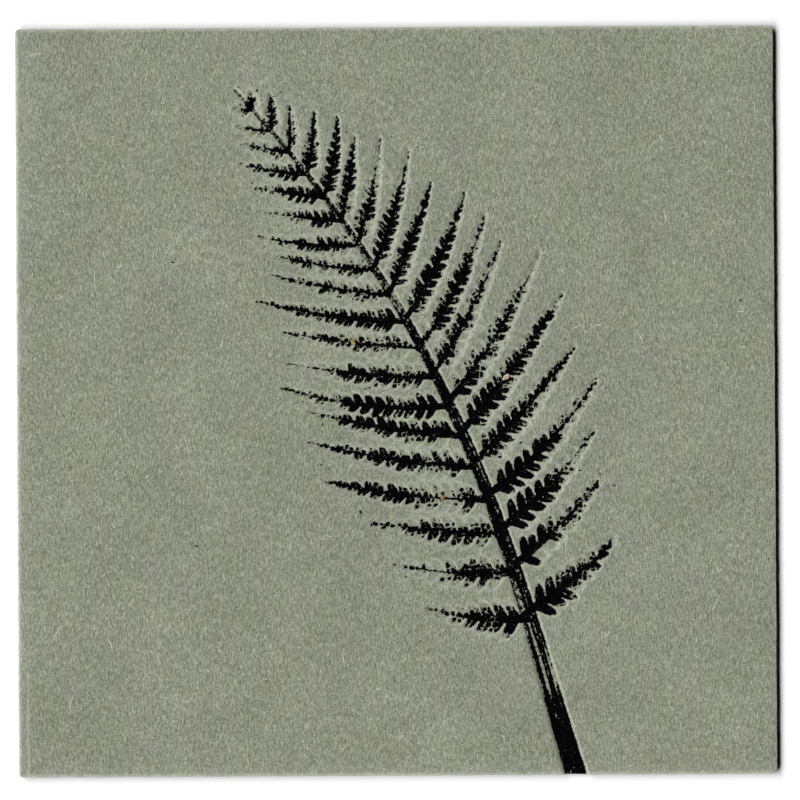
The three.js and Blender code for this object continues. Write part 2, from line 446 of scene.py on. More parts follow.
edge_share = np.interp(-HEIGHT / 2, stem_line[:, 1], stem_share)
print("where the board ends the stem is", round(2 * stem_half_width(edge_share) / MM, 2), "mm wide")

# %% [markdown]
# ## How deep the plant pressed
# The dent is deepest under the thick stem, shallower under the leaflets, with a fine groove for each
# midrib. Its sides are slopes about half a millimetre wide, because board gives way around what is
# pushed into it. The depth is a soft step of the distance, so a lobe that took no ink still shows
# as a dent, as it does on a real print.

# %% Depth of the dent
LEAF_DEPTH, STEM_DEPTH = 0.26 * MM, 0.40 * MM
SLOPE_OUT, SLOPE_IN = 0.34 * MM, 0.20 * MM
LOBE_SLOPE_OUT = 0.6 * SLOPE_OUT
RIB_SLOPE_OUT, RIB_SLOPE_IN = 0.3 * MM, 0.2 * MM
# What the blade, its lobes and its midrib each add, as shares of the leaf's depth.
BLADE_PRESS, LOBE_PRESS, RIB_PRESS = 0.40, 0.60, 0.30
DENT_MARGIN = 1.5 * MM
PROBE_SAMPLE = 60


def pressed(x, y):
    """How far the face is pushed down at each point, and how far inside the plant that point is."""
    share, off, past = stem_coordinates(x, y)
    inside = np.minimum(stem_half_width(share) - np.abs(off), STEM_POINT - past)
    depth = mix(STEM_DEPTH, LEAF_DEPTH, share) * ramp(inside, -SLOPE_OUT, SLOPE_IN)
    for leaf in leaflets:
        here = near(leaf, x, y, DENT_MARGIN)
        if not here.any():
            continue
        s, off = leaf_coordinates(leaf, x[here], y[here])
        blade = strip_inside(leaf, s, off, leaf["half_width"] * width_share(s))
        rib = midrib_inside(leaf, s, off)
        plant = np.maximum(lobe_fields(leaf, s, off)[0], rib)
        pushed = BLADE_PRESS * ramp(blade, -SLOPE_OUT, SLOPE_IN)
        pushed += LOBE_PRESS * ramp(plant, -LOBE_SLOPE_OUT, SLOPE_IN)
        pushed += RIB_PRESS * ramp(rib, -RIB_SLOPE_OUT, RIB_SLOPE_IN)
        depth[here] = np.maximum(depth[here], LEAF_DEPTH * pushed)
        inside[here] = np.maximum(inside[here], plant)
    return depth, inside


probe = stem_line[PROBE_SAMPLE]
print("depth under the stem:", round(float(pressed(probe[:1], probe[1:])[0][0]) / MM, 2), "mm")

# %% [markdown]
# ## The board
# The card was cut from a large sheet with a knife. Its right edge leans in a hair towards the top,
# its corners are blunt from handling, and its rims are soft. The face is one grid, split finer only
# where the plant pressed, because a flat stretch needs no more faces than its outline does. Then the
# rim is extruded round and down for the cut sides, and the back closes it.

# %% A grid for the face, finer where the frond lies
FACE_CELL = 0.96 * MM
# Each round splits the cells that have a dent deeper than the shallowest within the round's reach.
SPLIT_REACHES = (1.1 * MM, 0.35 * MM)
SHALLOWEST = 0.004 * MM
CORNER_ZONE = 2.2 * MM

board = bmesh.new()
bmesh.ops.create_grid(
    board, x_segments=round(WIDTH / FACE_CELL), y_segments=round(HEIGHT / FACE_CELL), size=0.5)
bmesh.ops.scale(board, vec=(WIDTH, HEIGHT, 1), verts=board.verts)


def face_middles(mesh):
    """The x and the y of the middle of each face of a bmesh."""
    middles = np.array([face.calc_center_median() for face in mesh.faces])
    return middles[:, 0], middles[:, 1]


for reach in SPLIT_REACHES:
    x, y = face_middles(board)
    depth = pressed(x, y)[0]
    for step_x, step_y in ((reach, 0), (-reach, 0), (0, reach), (0, -reach)):
        depth = np.maximum(depth, pressed(x + step_x, y + step_y)[0])
    at_corner = np.hypot(WIDTH / 2 - np.abs(x), HEIGHT / 2 - np.abs(y)) < CORNER_ZONE
    at_rim = [any(edge.is_boundary for edge in face.edges) for face in board.faces]
    chosen = (depth > SHALLOWEST) | at_corner | at_rim
    edges = {edge for face, wanted in zip(board.faces, chosen) if wanted for edge in face.edges}
    bmesh.ops.subdivide_edges(
        board, edges=list(edges), cuts=1, use_grid_fill=True, use_single_edge=True)
print("the face has", len(board.faces), "faces")

# %% Trim the outline, then press the frond in
# How much narrower the card is at its top than at its bottom.
TOP_SHORTFALL = 0.12 * MM
CORNER_RADIUS = 0.7 * MM
SHOULDER_WIDTH, SHOULDER_DROP = 0.6 * MM, 0.06 * MM
WAVE_HEIGHT, WAVE_SIZE = 0.02 * MM, 17 * MM
# The paler border beside the print starts this far outside the plant, is fullest just outside it and gone
# just inside. It is partly crushed board and partly a painted highlight that adds to the dent's lit side.
CRUSH_HIGHLIGHT_WIDTH, CRUSH_HIGHLIGHT_FULL, CRUSH_HIGHLIGHT_GONE = 0.5 * MM, -0.08 * MM, 0.12 * MM


def places(verts):
    """The positions of bmesh vertices as an array with a row for each."""
    return np.array([vert.co for vert in verts])


co = places(board.verts)
beyond = np.abs(co[:, :2]) - (np.array([WIDTH, HEIGHT]) / 2 - CORNER_RADIUS)
in_corner = (beyond > 0).all(axis=1)
beyond = beyond[in_corner]
kept_share = beyond.max(axis=1) / np.linalg.norm(beyond, axis=1)
co[in_corner, :2] -= np.sign(co[in_corner, :2]) * beyond * (1 - kept_share)[:, None]
to_rim = np.minimum(WIDTH / 2 - np.abs(co[:, 0]), HEIGHT / 2 - np.abs(co[:, 1]))
shoulder = SHOULDER_DROP * np.clip(1 - to_rim / SHOULDER_WIDTH, 0, 1) ** 2

up_share = co[:, 1] / HEIGHT + 0.5
co[:, 0] = -WIDTH / 2 + (co[:, 0] + WIDTH / 2) * (1 - TOP_SHORTFALL / WIDTH * up_share)
depth, inside = pressed(co[:, 0], co[:, 1])
wave = WAVE_HEIGHT * uneven(co[:, 0], co[:, 1], WAVE_SIZE, seed=5)
co[:, 2] = THICKNESS - WAVE_HEIGHT + wave - depth - shoulder
crush_and_highlight = ramp(inside, -CRUSH_HIGHLIGHT_WIDTH, CRUSH_HIGHLIGHT_FULL) - ramp(inside, CRUSH_HIGHLIGHT_FULL, CRUSH_HIGHLIGHT_GONE)
crush_and_highlight_layer = board.verts.layers.float.new("crush_and_highlight")
for vert, place, how_crushed_and_lit in zip(board.verts, co, crush_and_highlight):
    vert.co = place
    vert[crush_and_highlight_layer] = how_crushed_and_lit
print("the face lies between", round(co[:, 2].min() / MM, 2), "and", round(co[:, 2].max() / MM, 2), "mm up")

# %% The rim's profile
RIM = 0.12 * MM
RIM_STEPS = 3
# The cut side below the rim: how high each ring stands, as a share, and how far out.
WALL_RINGS = ((0.6, 0.0), (0.25, -0.02 * MM), (0.07, -0.01 * MM), (0.0, -0.05 * MM))

# Each ring's distance out, its drop from the face, and the share that is left of its height.
profile = []
for step in range(1, RIM_STEPS + 1):
    angle = step / RIM_STEPS * math.pi / 2
    profile.append((RIM * (math.sin(angle) - 1), RIM * (1 - math.cos(angle)), 1.0))
for height_left, flare in WALL_RINGS:
    profile.append((flare, RIM, height_left))
print("the rim and the side are", len(profile), "rings")

# %% Round the rim and run the cut sides down to the back
# The outline wavers with the knife's path, and much finer with the fibres that the knife tore.
KNIFE_WAVER, KNIFE_WAVER_LENGTH = 0.03 * MM, 4 * MM
FIBRE_WAVER, FIBRE_WAVER_LENGTH = 0.022 * MM, 0.3 * MM


def outward(place):
    """The direction straight out of the card at a point on its outline."""
    ex = abs(place.x) - (WIDTH / 2 - CORNER_RADIUS)
    ey = abs(place.y) - (HEIGHT / 2 - CORNER_RADIUS)
    away = Vector((max(ex, 0) * math.copysign(1, place.x), max(ey, 0) * math.copysign(1, place.y), 0))
    return away.normalized()


loop = [edge for edge in board.edges if edge.is_boundary]
rim_verts = list({vert for edge in loop for vert in edge.verts})
start = {vert: (vert.co.copy(), outward(vert.co)) for vert in rim_verts}
waver = {}
for vert in rim_verts:
    run = np.array([vert.co.x + vert.co.y]), np.array([vert.co.x - vert.co.y])
    waver[vert] = KNIFE_WAVER * float(uneven(*run, KNIFE_WAVER_LENGTH, seed=11)[0])
    waver[vert] += FIBRE_WAVER * (float(uneven(*run, FIBRE_WAVER_LENGTH, seed=12)[0]) - 1)
    vert.co -= start[vert][1] * (RIM + KNIFE_WAVER - waver[vert])

source = {vert: vert for vert in rim_verts}
for edge in loop:
    edge.smooth = False
for out, drop, height_left in profile:
    made = bmesh.ops.extrude_edge_only(board, edges=loop)["geom"]
    fresh = [item for item in made if isinstance(item, bmesh.types.BMVert)]
    loop = [item for item in made if isinstance(item, bmesh.types.BMEdge) and item.is_boundary]
    kept = {}
    for vert in fresh:
        above = min(
            (edge.other_vert(vert) for edge in vert.link_edges if edge.other_vert(vert) in source),
            key=lambda other: (other.co - vert.co).length)
        first = source[above]
        kept[vert] = first
        place, direction = start[first]
        vert.co = place + direction * (out - KNIFE_WAVER + waver[first])
        vert.co.z = (place.z - drop) * height_left
    source = kept
for edge in loop:
    edge.smooth = False
bmesh.ops.contextual_create(board, geom=loop)
bmesh.ops.recalc_face_normals(board, faces=board.faces)
print("the card has", len(board.faces), "faces, and", sum(e.is_boundary for e in board.edges), "open edges")

# %% [markdown]
# ## Recycled board, close to
# Solid board is made from waste paper. Its short fibres lie mostly one way, longer pale ones lean a
# little to either side of them, and scraps of different dyes leave patches of tint, soft clouds and
# sparse dark specks. Each of these has a size of its own, so each is a pattern of its own: a grain
# about 0.16 mm wide and 0.37 mm long, fibres 0.13 mm wide and 1.3 mm long, patches of 4 to 5 mm, and
# clouds of 14 mm. An image as fine as that would be very large, and a noise needs no image at all.
#
# The rim is paler: partly wear from handling, partly a painted highlight where it faces the light, so the
# right edge gets least. A faint pale band runs along the left and bottom edges, and one pale line near
# the left edge. A paler border beside the print is partly crushed board and partly a painted highlight
# that adds to the dent's lit side; the mesh carries it as a number at each vertex. All the rest reads
# Object coordinates, so that it runs on from the board to the bare spots in the ink.

# %% The grain, fibres and clouds of the board
# Squeezing the coordinates along the grain draws the grain out.
GRAIN_WIDTH, GRAIN_SQUEEZE = 0.155 * MM, 0.42
FIBRE_WIDTH, FIBRE_STRETCH = 0.13 * MM, 10.0
FIBRE_LEANS = (-0.15, 0.12)
# The larger of two noises has its middle above a half.
FIBRE_MIDDLE, FIBRE_WEIGHT = 0.56, 0.55
CLOUD_SIZE, CLOUD_WEIGHT = 14 * MM, 0.20
NOISE_MIDDLE = 0.5


def weighed(tree, value, middle, weight, rest):
    """A value added to the rest with a weight, so that its own middle changes nothing."""
    level = node(tree, "ShaderNodeMath", {0: value, 1: middle}, operation="SUBTRACT")
    return node(tree, "ShaderNodeMath", {0: level, 1: weight, 2: rest}, operation="MULTIPLY_ADD")


def board_level(tree, place, along_grain):
    """How light each spot of plain board is, which also serves as its fine height."""
    grain = node(tree, "ShaderNodeTexNoise", {
        "Vector": along_grain, "Scale": 1 / GRAIN_WIDTH, "Detail": 2.0, "Roughness": 0.55})
    leaning = []
    for lean in FIBRE_LEANS:
        combed = node(tree, "ShaderNodeMapping", {
            "Vector": place, "Rotation": (0, 0, lean), "Scale": (1, FIBRE_STRETCH, 1)},
            vector_type="TEXTURE")
        leaning.append(node(tree, "ShaderNodeTexNoise", {
            "Vector": combed, "Scale": 1 / FIBRE_WIDTH, "Detail": 0.0}))
    fibres = node(tree, "ShaderNodeMath", {0: leaning[0], 1: leaning[1]}, operation="MAXIMUM")
    clouds = node(tree, "ShaderNodeTexNoise", {
        "Vector": place, "Scale": 1 / CLOUD_SIZE, "Detail": 4.0, "Roughness": 0.6})
    level = weighed(tree, fibres, FIBRE_MIDDLE, FIBRE_WEIGHT, grain)
    return weighed(tree, clouds, NOISE_MIDDLE, CLOUD_WEIGHT, level)


print("fibres lean by", [round(math.degrees(lean), 1) for lean in FIBRE_LEANS], "degrees")

# %% Where the face is paler: the worn and lit rim, a pale band and a pale line
RIM_WEAR_AND_HIGHLIGHT_WIDTH, RIM_WEAR_AND_HIGHLIGHT_POWER, RIM_WEAR_AND_HIGHLIGHT_WEIGHT = 0.75 * MM, 1.6, 0.62
PALE_PATCH_SIZE = 1.3 * MM
# The right edge counts as this many times farther off than it is, so that its rim pales less: it faces away
# from the light, so it gets less of the painted highlight.
RIGHT_RIM_IN_SHADE = 1.4
# A faint pale band along the left and bottom edges: how wide and how strong.
EDGE_BAND_WIDTH, EDGE_BAND_WEIGHT = 2.6 * MM, 0.08
# The pale line's place in from the left edge, half its width where it is full and where it is gone,
# and how far up from the bottom edge it reaches.
LINE_IN, LINE_CORE, LINE_WIDTH = 1.56 * MM, 0.06 * MM, 0.24 * MM
LINE_LENGTH, LINE_WEIGHT = 22 * MM, 0.55
# A range that falls from 1 to 0 where others rise.
FALLING = {"To Min": 1.0, "To Max": 0.0}


def wear_highlight_and_pale_marks(tree, place):
    """How much paler the face is: most at its rim, where wear and a painted highlight on the rim that faces
    the light add up, a little in a band along the left and bottom edges, and along one short pale line. The
    right edge faces away from the light, so it is the least pale."""
    axes = node(tree, "ShaderNodeSeparateXYZ", {"Vector": place})
    to_left = node(tree, "ShaderNodeMath", {0: axes.outputs["X"], 1: WIDTH / 2}, operation="ADD")
    to_right = node(tree, "ShaderNodeMath", {
        0: WIDTH - TOP_SHORTFALL / 2, 1: to_left}, operation="SUBTRACT")
    to_right_unlit = node(tree, "ShaderNodeMath", {0: to_right, 1: RIGHT_RIM_IN_SHADE}, operation="MULTIPLY")
    to_bottom = node(tree, "ShaderNodeMath", {0: axes.outputs["Y"], 1: HEIGHT / 2}, operation="ADD")
    to_top = node(tree, "ShaderNodeMath", {0: HEIGHT, 1: to_bottom}, operation="SUBTRACT")
    to_rim = to_left
    for other_side in (to_right_unlit, to_bottom, to_top):
        to_rim = node(tree, "ShaderNodeMath", {0: to_rim, 1: other_side}, operation="MINIMUM")

    patches = node(tree, "ShaderNodeTexNoise", {"Vector": place, "Scale": 1 / PALE_PATCH_SIZE, "Detail": 3.0})
    # Paler at the rim: partly wear, partly a painted highlight where the rim faces the light.
    ragged = weighed(tree, patches, NOISE_MIDDLE, RIM_WEAR_AND_HIGHLIGHT_WIDTH, to_rim)
    near_rim = node(tree, "ShaderNodeMapRange", {"Value": ragged, "From Max": RIM_WEAR_AND_HIGHLIGHT_WIDTH, **FALLING})
    worn = node(tree, "ShaderNodeMath", {0: near_rim, 1: RIM_WEAR_AND_HIGHLIGHT_POWER}, operation="POWER")

    # A faint pale band along the left and bottom edges.
    to_near_edges = node(tree, "ShaderNodeMath", {0: to_left, 1: to_bottom}, operation="MINIMUM")
    edge_band = node(tree, "ShaderNodeMapRange", {"Value": to_near_edges, "From Max": EDGE_BAND_WIDTH, **FALLING})

    # One short pale line near the left edge.
    past_line = node(tree, "ShaderNodeMath", {0: to_left, 1: LINE_IN}, operation="SUBTRACT")
    beside_line = node(tree, "ShaderNodeMath", {0: past_line}, operation="ABSOLUTE")
    across = node(tree, "ShaderNodeMapRange", {
        "Value": beside_line, "From Min": LINE_CORE, "From Max": LINE_WIDTH, **FALLING})
    along = node(tree, "ShaderNodeMapRange", {
        "Value": to_bottom, "From Min": LINE_LENGTH / 2, "From Max": LINE_LENGTH, **FALLING})
    line = node(tree, "ShaderNodeMath", {0: across, 1: along}, operation="MULTIPLY")
    lighter = node(tree, "ShaderNodeMath", {0: line, 1: patches}, operation="MULTIPLY")

    total = 0.0
    for lightening, weight in ((worn, RIM_WEAR_AND_HIGHLIGHT_WEIGHT), (edge_band, EDGE_BAND_WEIGHT), (lighter, LINE_WEIGHT)):
        total = node(tree, "ShaderNodeMath", {0: lightening, 1: weight, 2: total}, operation="MULTIPLY_ADD")
    return total


print("the rubbed line runs", round(LINE_IN / MM, 2), "mm in from the left edge")

# %% The board's colour
BOARD_TONES = ((0.20, "#5B5F51"), (0.50, "#888C7B"), (0.80, "#B5B9A8"))
TINT_SIZE, TINTS = 5.2 * MM, ((0.34, "#FBFAFF"), (0.50, "#FEFEFC"), (0.66, "#FFFFF6"))
DYE_SIZE, DYES = 4.4 * MM, ((0.33, "#FFFCFF"), (0.50, "#FDFDFD"), (0.67, "#FBFEFB"))
SPECK_SPACING, SPECK_EDGE, SPECK_CORE = 3.0 * MM, 0.05, 0.02
SPECK_WEIGHT, SPECK_COLOUR = 0.55, "#3B3A30"
# How strong the paler border beside the print is, which is partly a painted highlight, and the pale colour
# that wear, the painted highlights, the pale band and the pale line all lead to.
CRUSH_HIGHLIGHT_WEIGHT, WORN_AND_LIT_COLOUR = 0.30, "#CFD1C3"


def board_pattern(tree):
    """Adds the board's colour and its fine height to a material, and returns both nodes."""
    place = node(tree, "ShaderNodeTexCoord").outputs["Object"]
    along_grain = node(tree, "ShaderNodeMapping", {"Vector": place, "Scale": (1, GRAIN_SQUEEZE, 1)})
    level = board_level(tree, place, along_grain)
    colour = node(tree, "ShaderNodeValToRGB", {"Fac": level}, stops=BOARD_TONES)
    for stops, field in (
            (TINTS, {"Vector": place, "Scale": 1 / TINT_SIZE, "Detail": 4.0, "Roughness": 0.8}),
            (DYES, {"Vector": along_grain, "Scale": 1 / DYE_SIZE, "Detail": 4.0, "Roughness": 0.75})):
        patches = node(tree, "ShaderNodeTexNoise", field)
        shade = node(tree, "ShaderNodeValToRGB", {"Fac": patches}, stops=stops)
        colour = node(tree, "ShaderNodeMix", {
            "Factor": 1.0, "A": colour, "B": shade}, data_type="RGBA", blend_type="MULTIPLY")

    speck = node(tree, "ShaderNodeTexVoronoi", {
        "Vector": along_grain, "Scale": 1 / SPECK_SPACING, "Randomness": 1.0})
    is_speck = node(tree, "ShaderNodeMapRange", {
        "Value": speck, "From Min": SPECK_EDGE, "From Max": SPECK_CORE, "To Max": SPECK_WEIGHT})
    colour = node(tree, "ShaderNodeMix", {
        "Factor": is_speck, "A": colour, "B": linear(SPECK_COLOUR)}, data_type="RGBA")

    # The paler border and the paler rim are partly painted highlight, mixed in as colour.
    crush_and_highlight = node(tree, "ShaderNodeAttribute", attribute_name="crush_and_highlight", attribute_type="GEOMETRY")
    lightening = node(tree, "ShaderNodeMath", {
        0: crush_and_highlight.outputs["Fac"], 1: CRUSH_HIGHLIGHT_WEIGHT, 2: wear_highlight_and_pale_marks(tree, place)}, operation="MULTIPLY_ADD")
    colour = node(tree, "ShaderNodeMix", {
        "Factor": lightening, "A": colour, "B": linear(WORN_AND_LIT_COLOUR)}, data_type="RGBA")
    return colour, level


print("board tones:", [colour for _, colour in BOARD_TONES])

# %% The face of the board
BOARD_ROUGHNESS = 0.95
GRAIN_HEIGHT = 0.03 * MM

face_material, tree = new_material("recycled_greyboard_face")
# Uncoated board scatters light almost evenly, so it has a high roughness and no clear gloss.
colour, height = board_pattern(tree)
bump = node(tree, "ShaderNodeBump", {"Height": height, "Strength": 0.5, "Distance": GRAIN_HEIGHT})
shader = node(tree, "ShaderNodeBsdfPrincipled", {
    "Base Color": colour, "Roughness": BOARD_ROUGHNESS, "IOR": 1.5, "Specular IOR Level": 0.2,
    "Normal": bump})
node(tree, "ShaderNodeOutputMaterial", {"Surface": shader})
print("board face:", len(tree.nodes), "nodes")

# %% [markdown]
# ## The cut side
# Solid board is built up of thin layers, and a knife lays them open, with faint level lines and torn
# fibres between them. The side is also coloured much darker than the face: that is painted shade, which
# keeps the shadow beside the right edge black. The layers could be modelled, but that takes very many
# faces for lines a fifth of a millimetre apart. So a noise that is drawn out along the side stands for
# them. It gives the tone and part of the bump, so a dark line is also a low one.

# %% The knife-cut side
# The layers run on level round the card, so the coordinates are squeezed in X and Y, not in height.
PLY, PLY_SQUEEZE = 0.22 * MM, 0.12
# Both tones are dark: painted shade that keeps the shadow beside the right edge black.
SIDE_TONES_AND_SHADE = ((0.30, "#2C2E26"), (0.72, "#5E6153"))
TORN_SIZE, TORN_HEIGHT = 0.15 * MM, 0.05 * MM

side_material, tree = new_material("knife_cut_board_side")
# A cut side shows the sheet's thin layers and torn fibres. Its dark tone is painted shade, which keeps the
# shadow beside the right edge black.
place = node(tree, "ShaderNodeTexCoord").outputs["Object"]
layered = node(tree, "ShaderNodeMapping", {"Vector": place, "Scale": (PLY_SQUEEZE, PLY_SQUEEZE, 1)})
plies = node(tree, "ShaderNodeTexNoise", {
    "Vector": layered, "Scale": 1 / PLY, "Detail": 3.0, "Roughness": 0.6})
tone = node(tree, "ShaderNodeValToRGB", {"Fac": plies}, stops=SIDE_TONES_AND_SHADE)
torn = node(tree, "ShaderNodeTexNoise", {
    "Vector": place, "Scale": 1 / TORN_SIZE, "Detail": 2.0, "Roughness": 0.6})
rough = node(tree, "ShaderNodeMath", {0: plies, 1: torn}, operation="ADD")
bump = node(tree, "ShaderNodeBump", {"Height": rough, "Strength": 0.7, "Distance": TORN_HEIGHT})
shader = node(tree, "ShaderNodeBsdfPrincipled", {
    "Base Color": tone, "Roughness": 0.97, "IOR": 1.5, "Specular IOR Level": 0.2, "Normal": bump})
node(tree, "ShaderNodeOutputMaterial", {"Surface": shader})
print("cut side:", len(tree.nodes), "nodes")

# %% Hand the board over as a piece
BODY = next(iter(frame["bodies"]))
STEEP = 0.5


def finished(mesh, name, materials, stands_for=None):
    """Turns a bmesh into a piece that rides on the card."""
    data = bpy.data.meshes.new(name)
    mesh.to_mesh(data)
    mesh.free()
    for material in materials:
        data.materials.append(material)
    piece = bpy.data.objects.new(name, data)
    bpy.context.scene.collection.objects.link(piece)
    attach(piece, BODY)
    if stands_for:
        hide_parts(stands_for)
    print(name, "has", len(data.polygons), "faces")


for face in board.faces:
    face.smooth = True
    face.material_index = 1 if abs(face.normal.z) < STEEP else 0
face_tree = BVHTree.FromBMesh(board)
finished(board, "pressed_board", [face_material, side_material], "board")


def face_height(x, y):
    """How high the pressed face lies under each point, found by a ray from a metre up."""
    down = Vector((0, 0, -1))
    heights = []
    for px, py in zip(x, y):
        hit = face_tree.ray_cast(Vector((px, py, 1)), down)[0]
        heights.append(THICKNESS if hit is None else hit.z)
    return np.array(heights)


BARE = 40 * MM
print("the face is", round(face_height([BARE], [BARE])[0] / MM, 3), "mm up at one bare spot")

# %% [markdown]
# ## The ink
# The ink sits where the plant touched hardest: solid along the midribs and the stem, and broken
# into small blots towards the edges, with pale slits where the grooves between the stem's ribs took
# none. Painting that in a texture gives a soft, flat mark. Here a fine grid lies over the print,
# every cell outside the ink is deleted, the edge that is left is moved to the outline, and the film
# is dropped onto the pressed face and thickened.

# %% Pale slits along the stem
# Each slit's seed, its place from the stem's middle at 0 to its edge at 1 or -1, half its width, and
# half the stem's width where it opens: a thin stem has fewer ribs, so it prints with fewer slits.
STEM_SLITS = (
    (21, 0.34, 0.14 * MM, 0.5 * MM), (22, -0.30, 0.13 * MM, 0.8 * MM), (23, -0.68, 0.10 * MM, 1.2 * MM),
    (24, 0.74, 0.07 * MM, 1.1 * MM), (25, 0.06, 0.07 * MM, 1.3 * MM), (26, -0.52, 0.05 * MM, 1.4 * MM))
# Up to where on the stem every slit is closed, and from where on each may be fully open.
SLITS_CLOSED, SLITS_OPEN = 7 * MM, 24 * MM
# How much a closed slit loses, and between which shares of its own half stem's width it opens.
SHUT, OPENS_FROM, OPENS_BY = 1.3, 0.85, 1.15
# Half the stem's width where slits are at their full width, and the least share of it elsewhere.
FULL_SLIT_HALF_STEM, NARROWEST_SLIT = 1.5 * MM, 0.25
# What varies along a slit, by how much and over what length. Each has a seed of its own.
DRIFT, DRIFT_LENGTH = 0.16, 11 * MM
SHAKE, SHAKE_LENGTH = 0.04 * MM, 1.1 * MM
MEAN_OPENING, OPENING_PLAY, OPENING_LENGTH = 0.2, 1.5, 14 * MM
FRAY, FRAY_LENGTH = 0.5, 0.9 * MM
BRIDGE, BRIDGE_FROM, BRIDGE_LENGTH = 2.5, 0.55, 1.7 * MM
CRUMB, CRUMB_FROM, CRUMB_SIZE = 0.25 * MM, 0.22, 0.24 * MM


def outside_slit(slit, x, y, run, off, half):
    """How far each point lies outside one slit, less than nothing where the slit shows board."""
    seed, middle, width, opens_at = slit
    flat = 0 * run
    centre = half * (middle + DRIFT * uneven(run, flat, DRIFT_LENGTH, seed))
    centre += SHAKE * uneven(run, flat, SHAKE_LENGTH, seed + 40)
    opening = np.clip(MEAN_OPENING + OPENING_PLAY * uneven(run, flat, OPENING_LENGTH, seed + 10), -1, 1)
    opening = opening * (1 + FRAY * uneven(run, off, FRAY_LENGTH, seed + 20))
    bridged = BRIDGE * np.clip(uneven(run, flat, BRIDGE_LENGTH, seed + 30) - BRIDGE_FROM, 0, 1)
    thick_enough = ramp(half, OPENS_FROM * opens_at, OPENS_BY * opens_at)
    closed = SHUT - SHUT * ramp(run, SLITS_CLOSED, SLITS_OPEN) * thick_enough
    narrowed = np.clip(half / FULL_SLIT_HALF_STEM, NARROWEST_SLIT, 1)
    half_open = width * (opening - bridged - closed) * narrowed
    crumbs = CRUMB * (uneven(x, y, CRUMB_SIZE, seed + 50) - CRUMB_FROM)
    return np.maximum(np.abs(off - centre) - half_open, crumbs)


print("the stem has", len(STEM_SLITS), "slits")

# %% How much ink each spot of a leaflet took
FULL_LOAD = 1.25
BROAD_LOAD_PLAY, BROAD_LOAD_SIZE = 0.9, 7 * MM
FINE_LOAD_PLAY, FINE_LOAD_SIZE = 0.55, 2.5 * MM
LOBE_LOAD_PLAY = 0.5
LOST_AT_LOBE_TIP, LOST_AT_LEAFLET_TIP = 1.25, 0.55


def ink_load(x, y, s, reach, lot):
    """How well each spot was inked: over 1 prints solid, and near 0 leaves only scattered blots."""
    load = FULL_LOAD + BROAD_LOAD_PLAY * uneven(x, y, BROAD_LOAD_SIZE, seed=31)
    load = load + FINE_LOAD_PLAY * uneven(x, y, FINE_LOAD_SIZE, seed=32)
    lobe_end, leaflet_end = np.clip(reach, 0, 1) ** 2, np.clip(s, 0, 1) ** 2
    load += LOBE_LOAD_PLAY * (lot - 0.5) - LOST_AT_LOBE_TIP * lobe_end - LOST_AT_LEAFLET_TIP * leaflet_end
    return load


print("a lobe's tip gets", round(FULL_LOAD - LOST_AT_LOBE_TIP, 2), "of the", FULL_LOAD, "at the midrib")

# %% What a leaflet printed
# How much of the blade's width prints beside the midrib, between its lobes too.
WEB_SHARE = 0.26
BLOT_SIZE = 0.95 * MM
# Half the gap between two blots in mm, how much of it a load closes, and its limits.
WIDE_GAP, GAP_CLOSED_BY_LOAD, GAP_LIMITS = 0.17, 0.20, (-0.4, 0.15)
# A blot prints when its number is below the first, which a load raises by the second.
BLOT_PRINTS, PRINTS_BY_LOAD = 0.55, 0.8
# Blots with a number between these two print as rings this wide, which a load fills in.
RING_LOTS, RING_WIDTH, RING_FILLED_BY_LOAD = (0.25, 0.4), 0.24 * MM, 0.5 * MM
# Half the pale line of a lobe's vein, the load that fills it in, its limits, and where it starts.
VEIN_HALF, VEIN_FILLED_BY, VEIN_LIMITS, VEIN_FROM = 0.08 * MM, 0.9, (-2, 1), 0.25
# A lobe whose number is below the first took no ink, and one up to the second shows no vein.
BARE_LOBES, PLAIN_LOBES = 0.05, 0.4


def leaflet_ink(leaf, x, y):
    """How far inside a leaflet's ink each point lies."""
    s, off = leaf_coordinates(leaf, x, y)
    lobe, across, reach, lot = lobe_fields(leaf, s, off)
    rib = midrib_inside(leaf, s, off)
    web = strip_inside(leaf, s, off, WEB_SHARE * leaf["half_width"] * width_share(s))
    load = ink_load(x, y, s, reach, lot)

    border, blot = uneven_cells(x, y, BLOT_SIZE, seed=33)
    gap = border - MM * np.clip(WIDE_GAP - GAP_CLOSED_BY_LOAD * load, *GAP_LIMITS)
    gap = np.where(blot > BLOT_PRINTS + PRINTS_BY_LOAD * load, FAR_OUTSIDE, gap)
    hollow = (blot > RING_LOTS[0]) & (blot < RING_LOTS[1])
    filled = RING_FILLED_BY_LOAD * np.clip(load, 0, 1)
    ring = np.where(hollow, RING_WIDTH - border + filled, FAR_INSIDE)
    vein = np.abs(across) - VEIN_HALF * np.clip(VEIN_FILLED_BY - load, *VEIN_LIMITS) * (reach > VEIN_FROM)
    marked = np.where(lot > PLAIN_LOBES, np.minimum(vein, ring), ring)
    blots = np.minimum(np.minimum(lobe, gap), marked)
    blots = np.where(lot < BARE_LOBES, FAR_OUTSIDE, blots)
    return np.maximum(np.maximum(blots, rib), np.minimum(web, gap))


midway = on_midrib(leaflets[0], 0.5)
inked = float(leaflet_ink(leaflets[0], midway[:1], midway[1:])[0])
print("halfway along it, the first leaflet's midrib lies", round(inked / MM, 2), "mm inside its ink")

# %% How far inside the ink each point is
INK_PARTS = ("ink_stem", "ink_leaflets_right", "ink_leaflets_left")
INK_MARGIN = 0.3 * MM
# Where the ink was dry its edge draws in, and a coarse and a fine field roughen it everywhere.
DRY, DRY_FROM, DRY_SIZE = 0.16 * MM, 0.35, 5 * MM
COARSE_EDGE, COARSE_EDGE_SIZE = 0.05 * MM, 0.5 * MM
FINE_EDGE, FINE_EDGE_SIZE = 0.065 * MM, 0.22 * MM
INK_SPREAD = 0.01 * MM


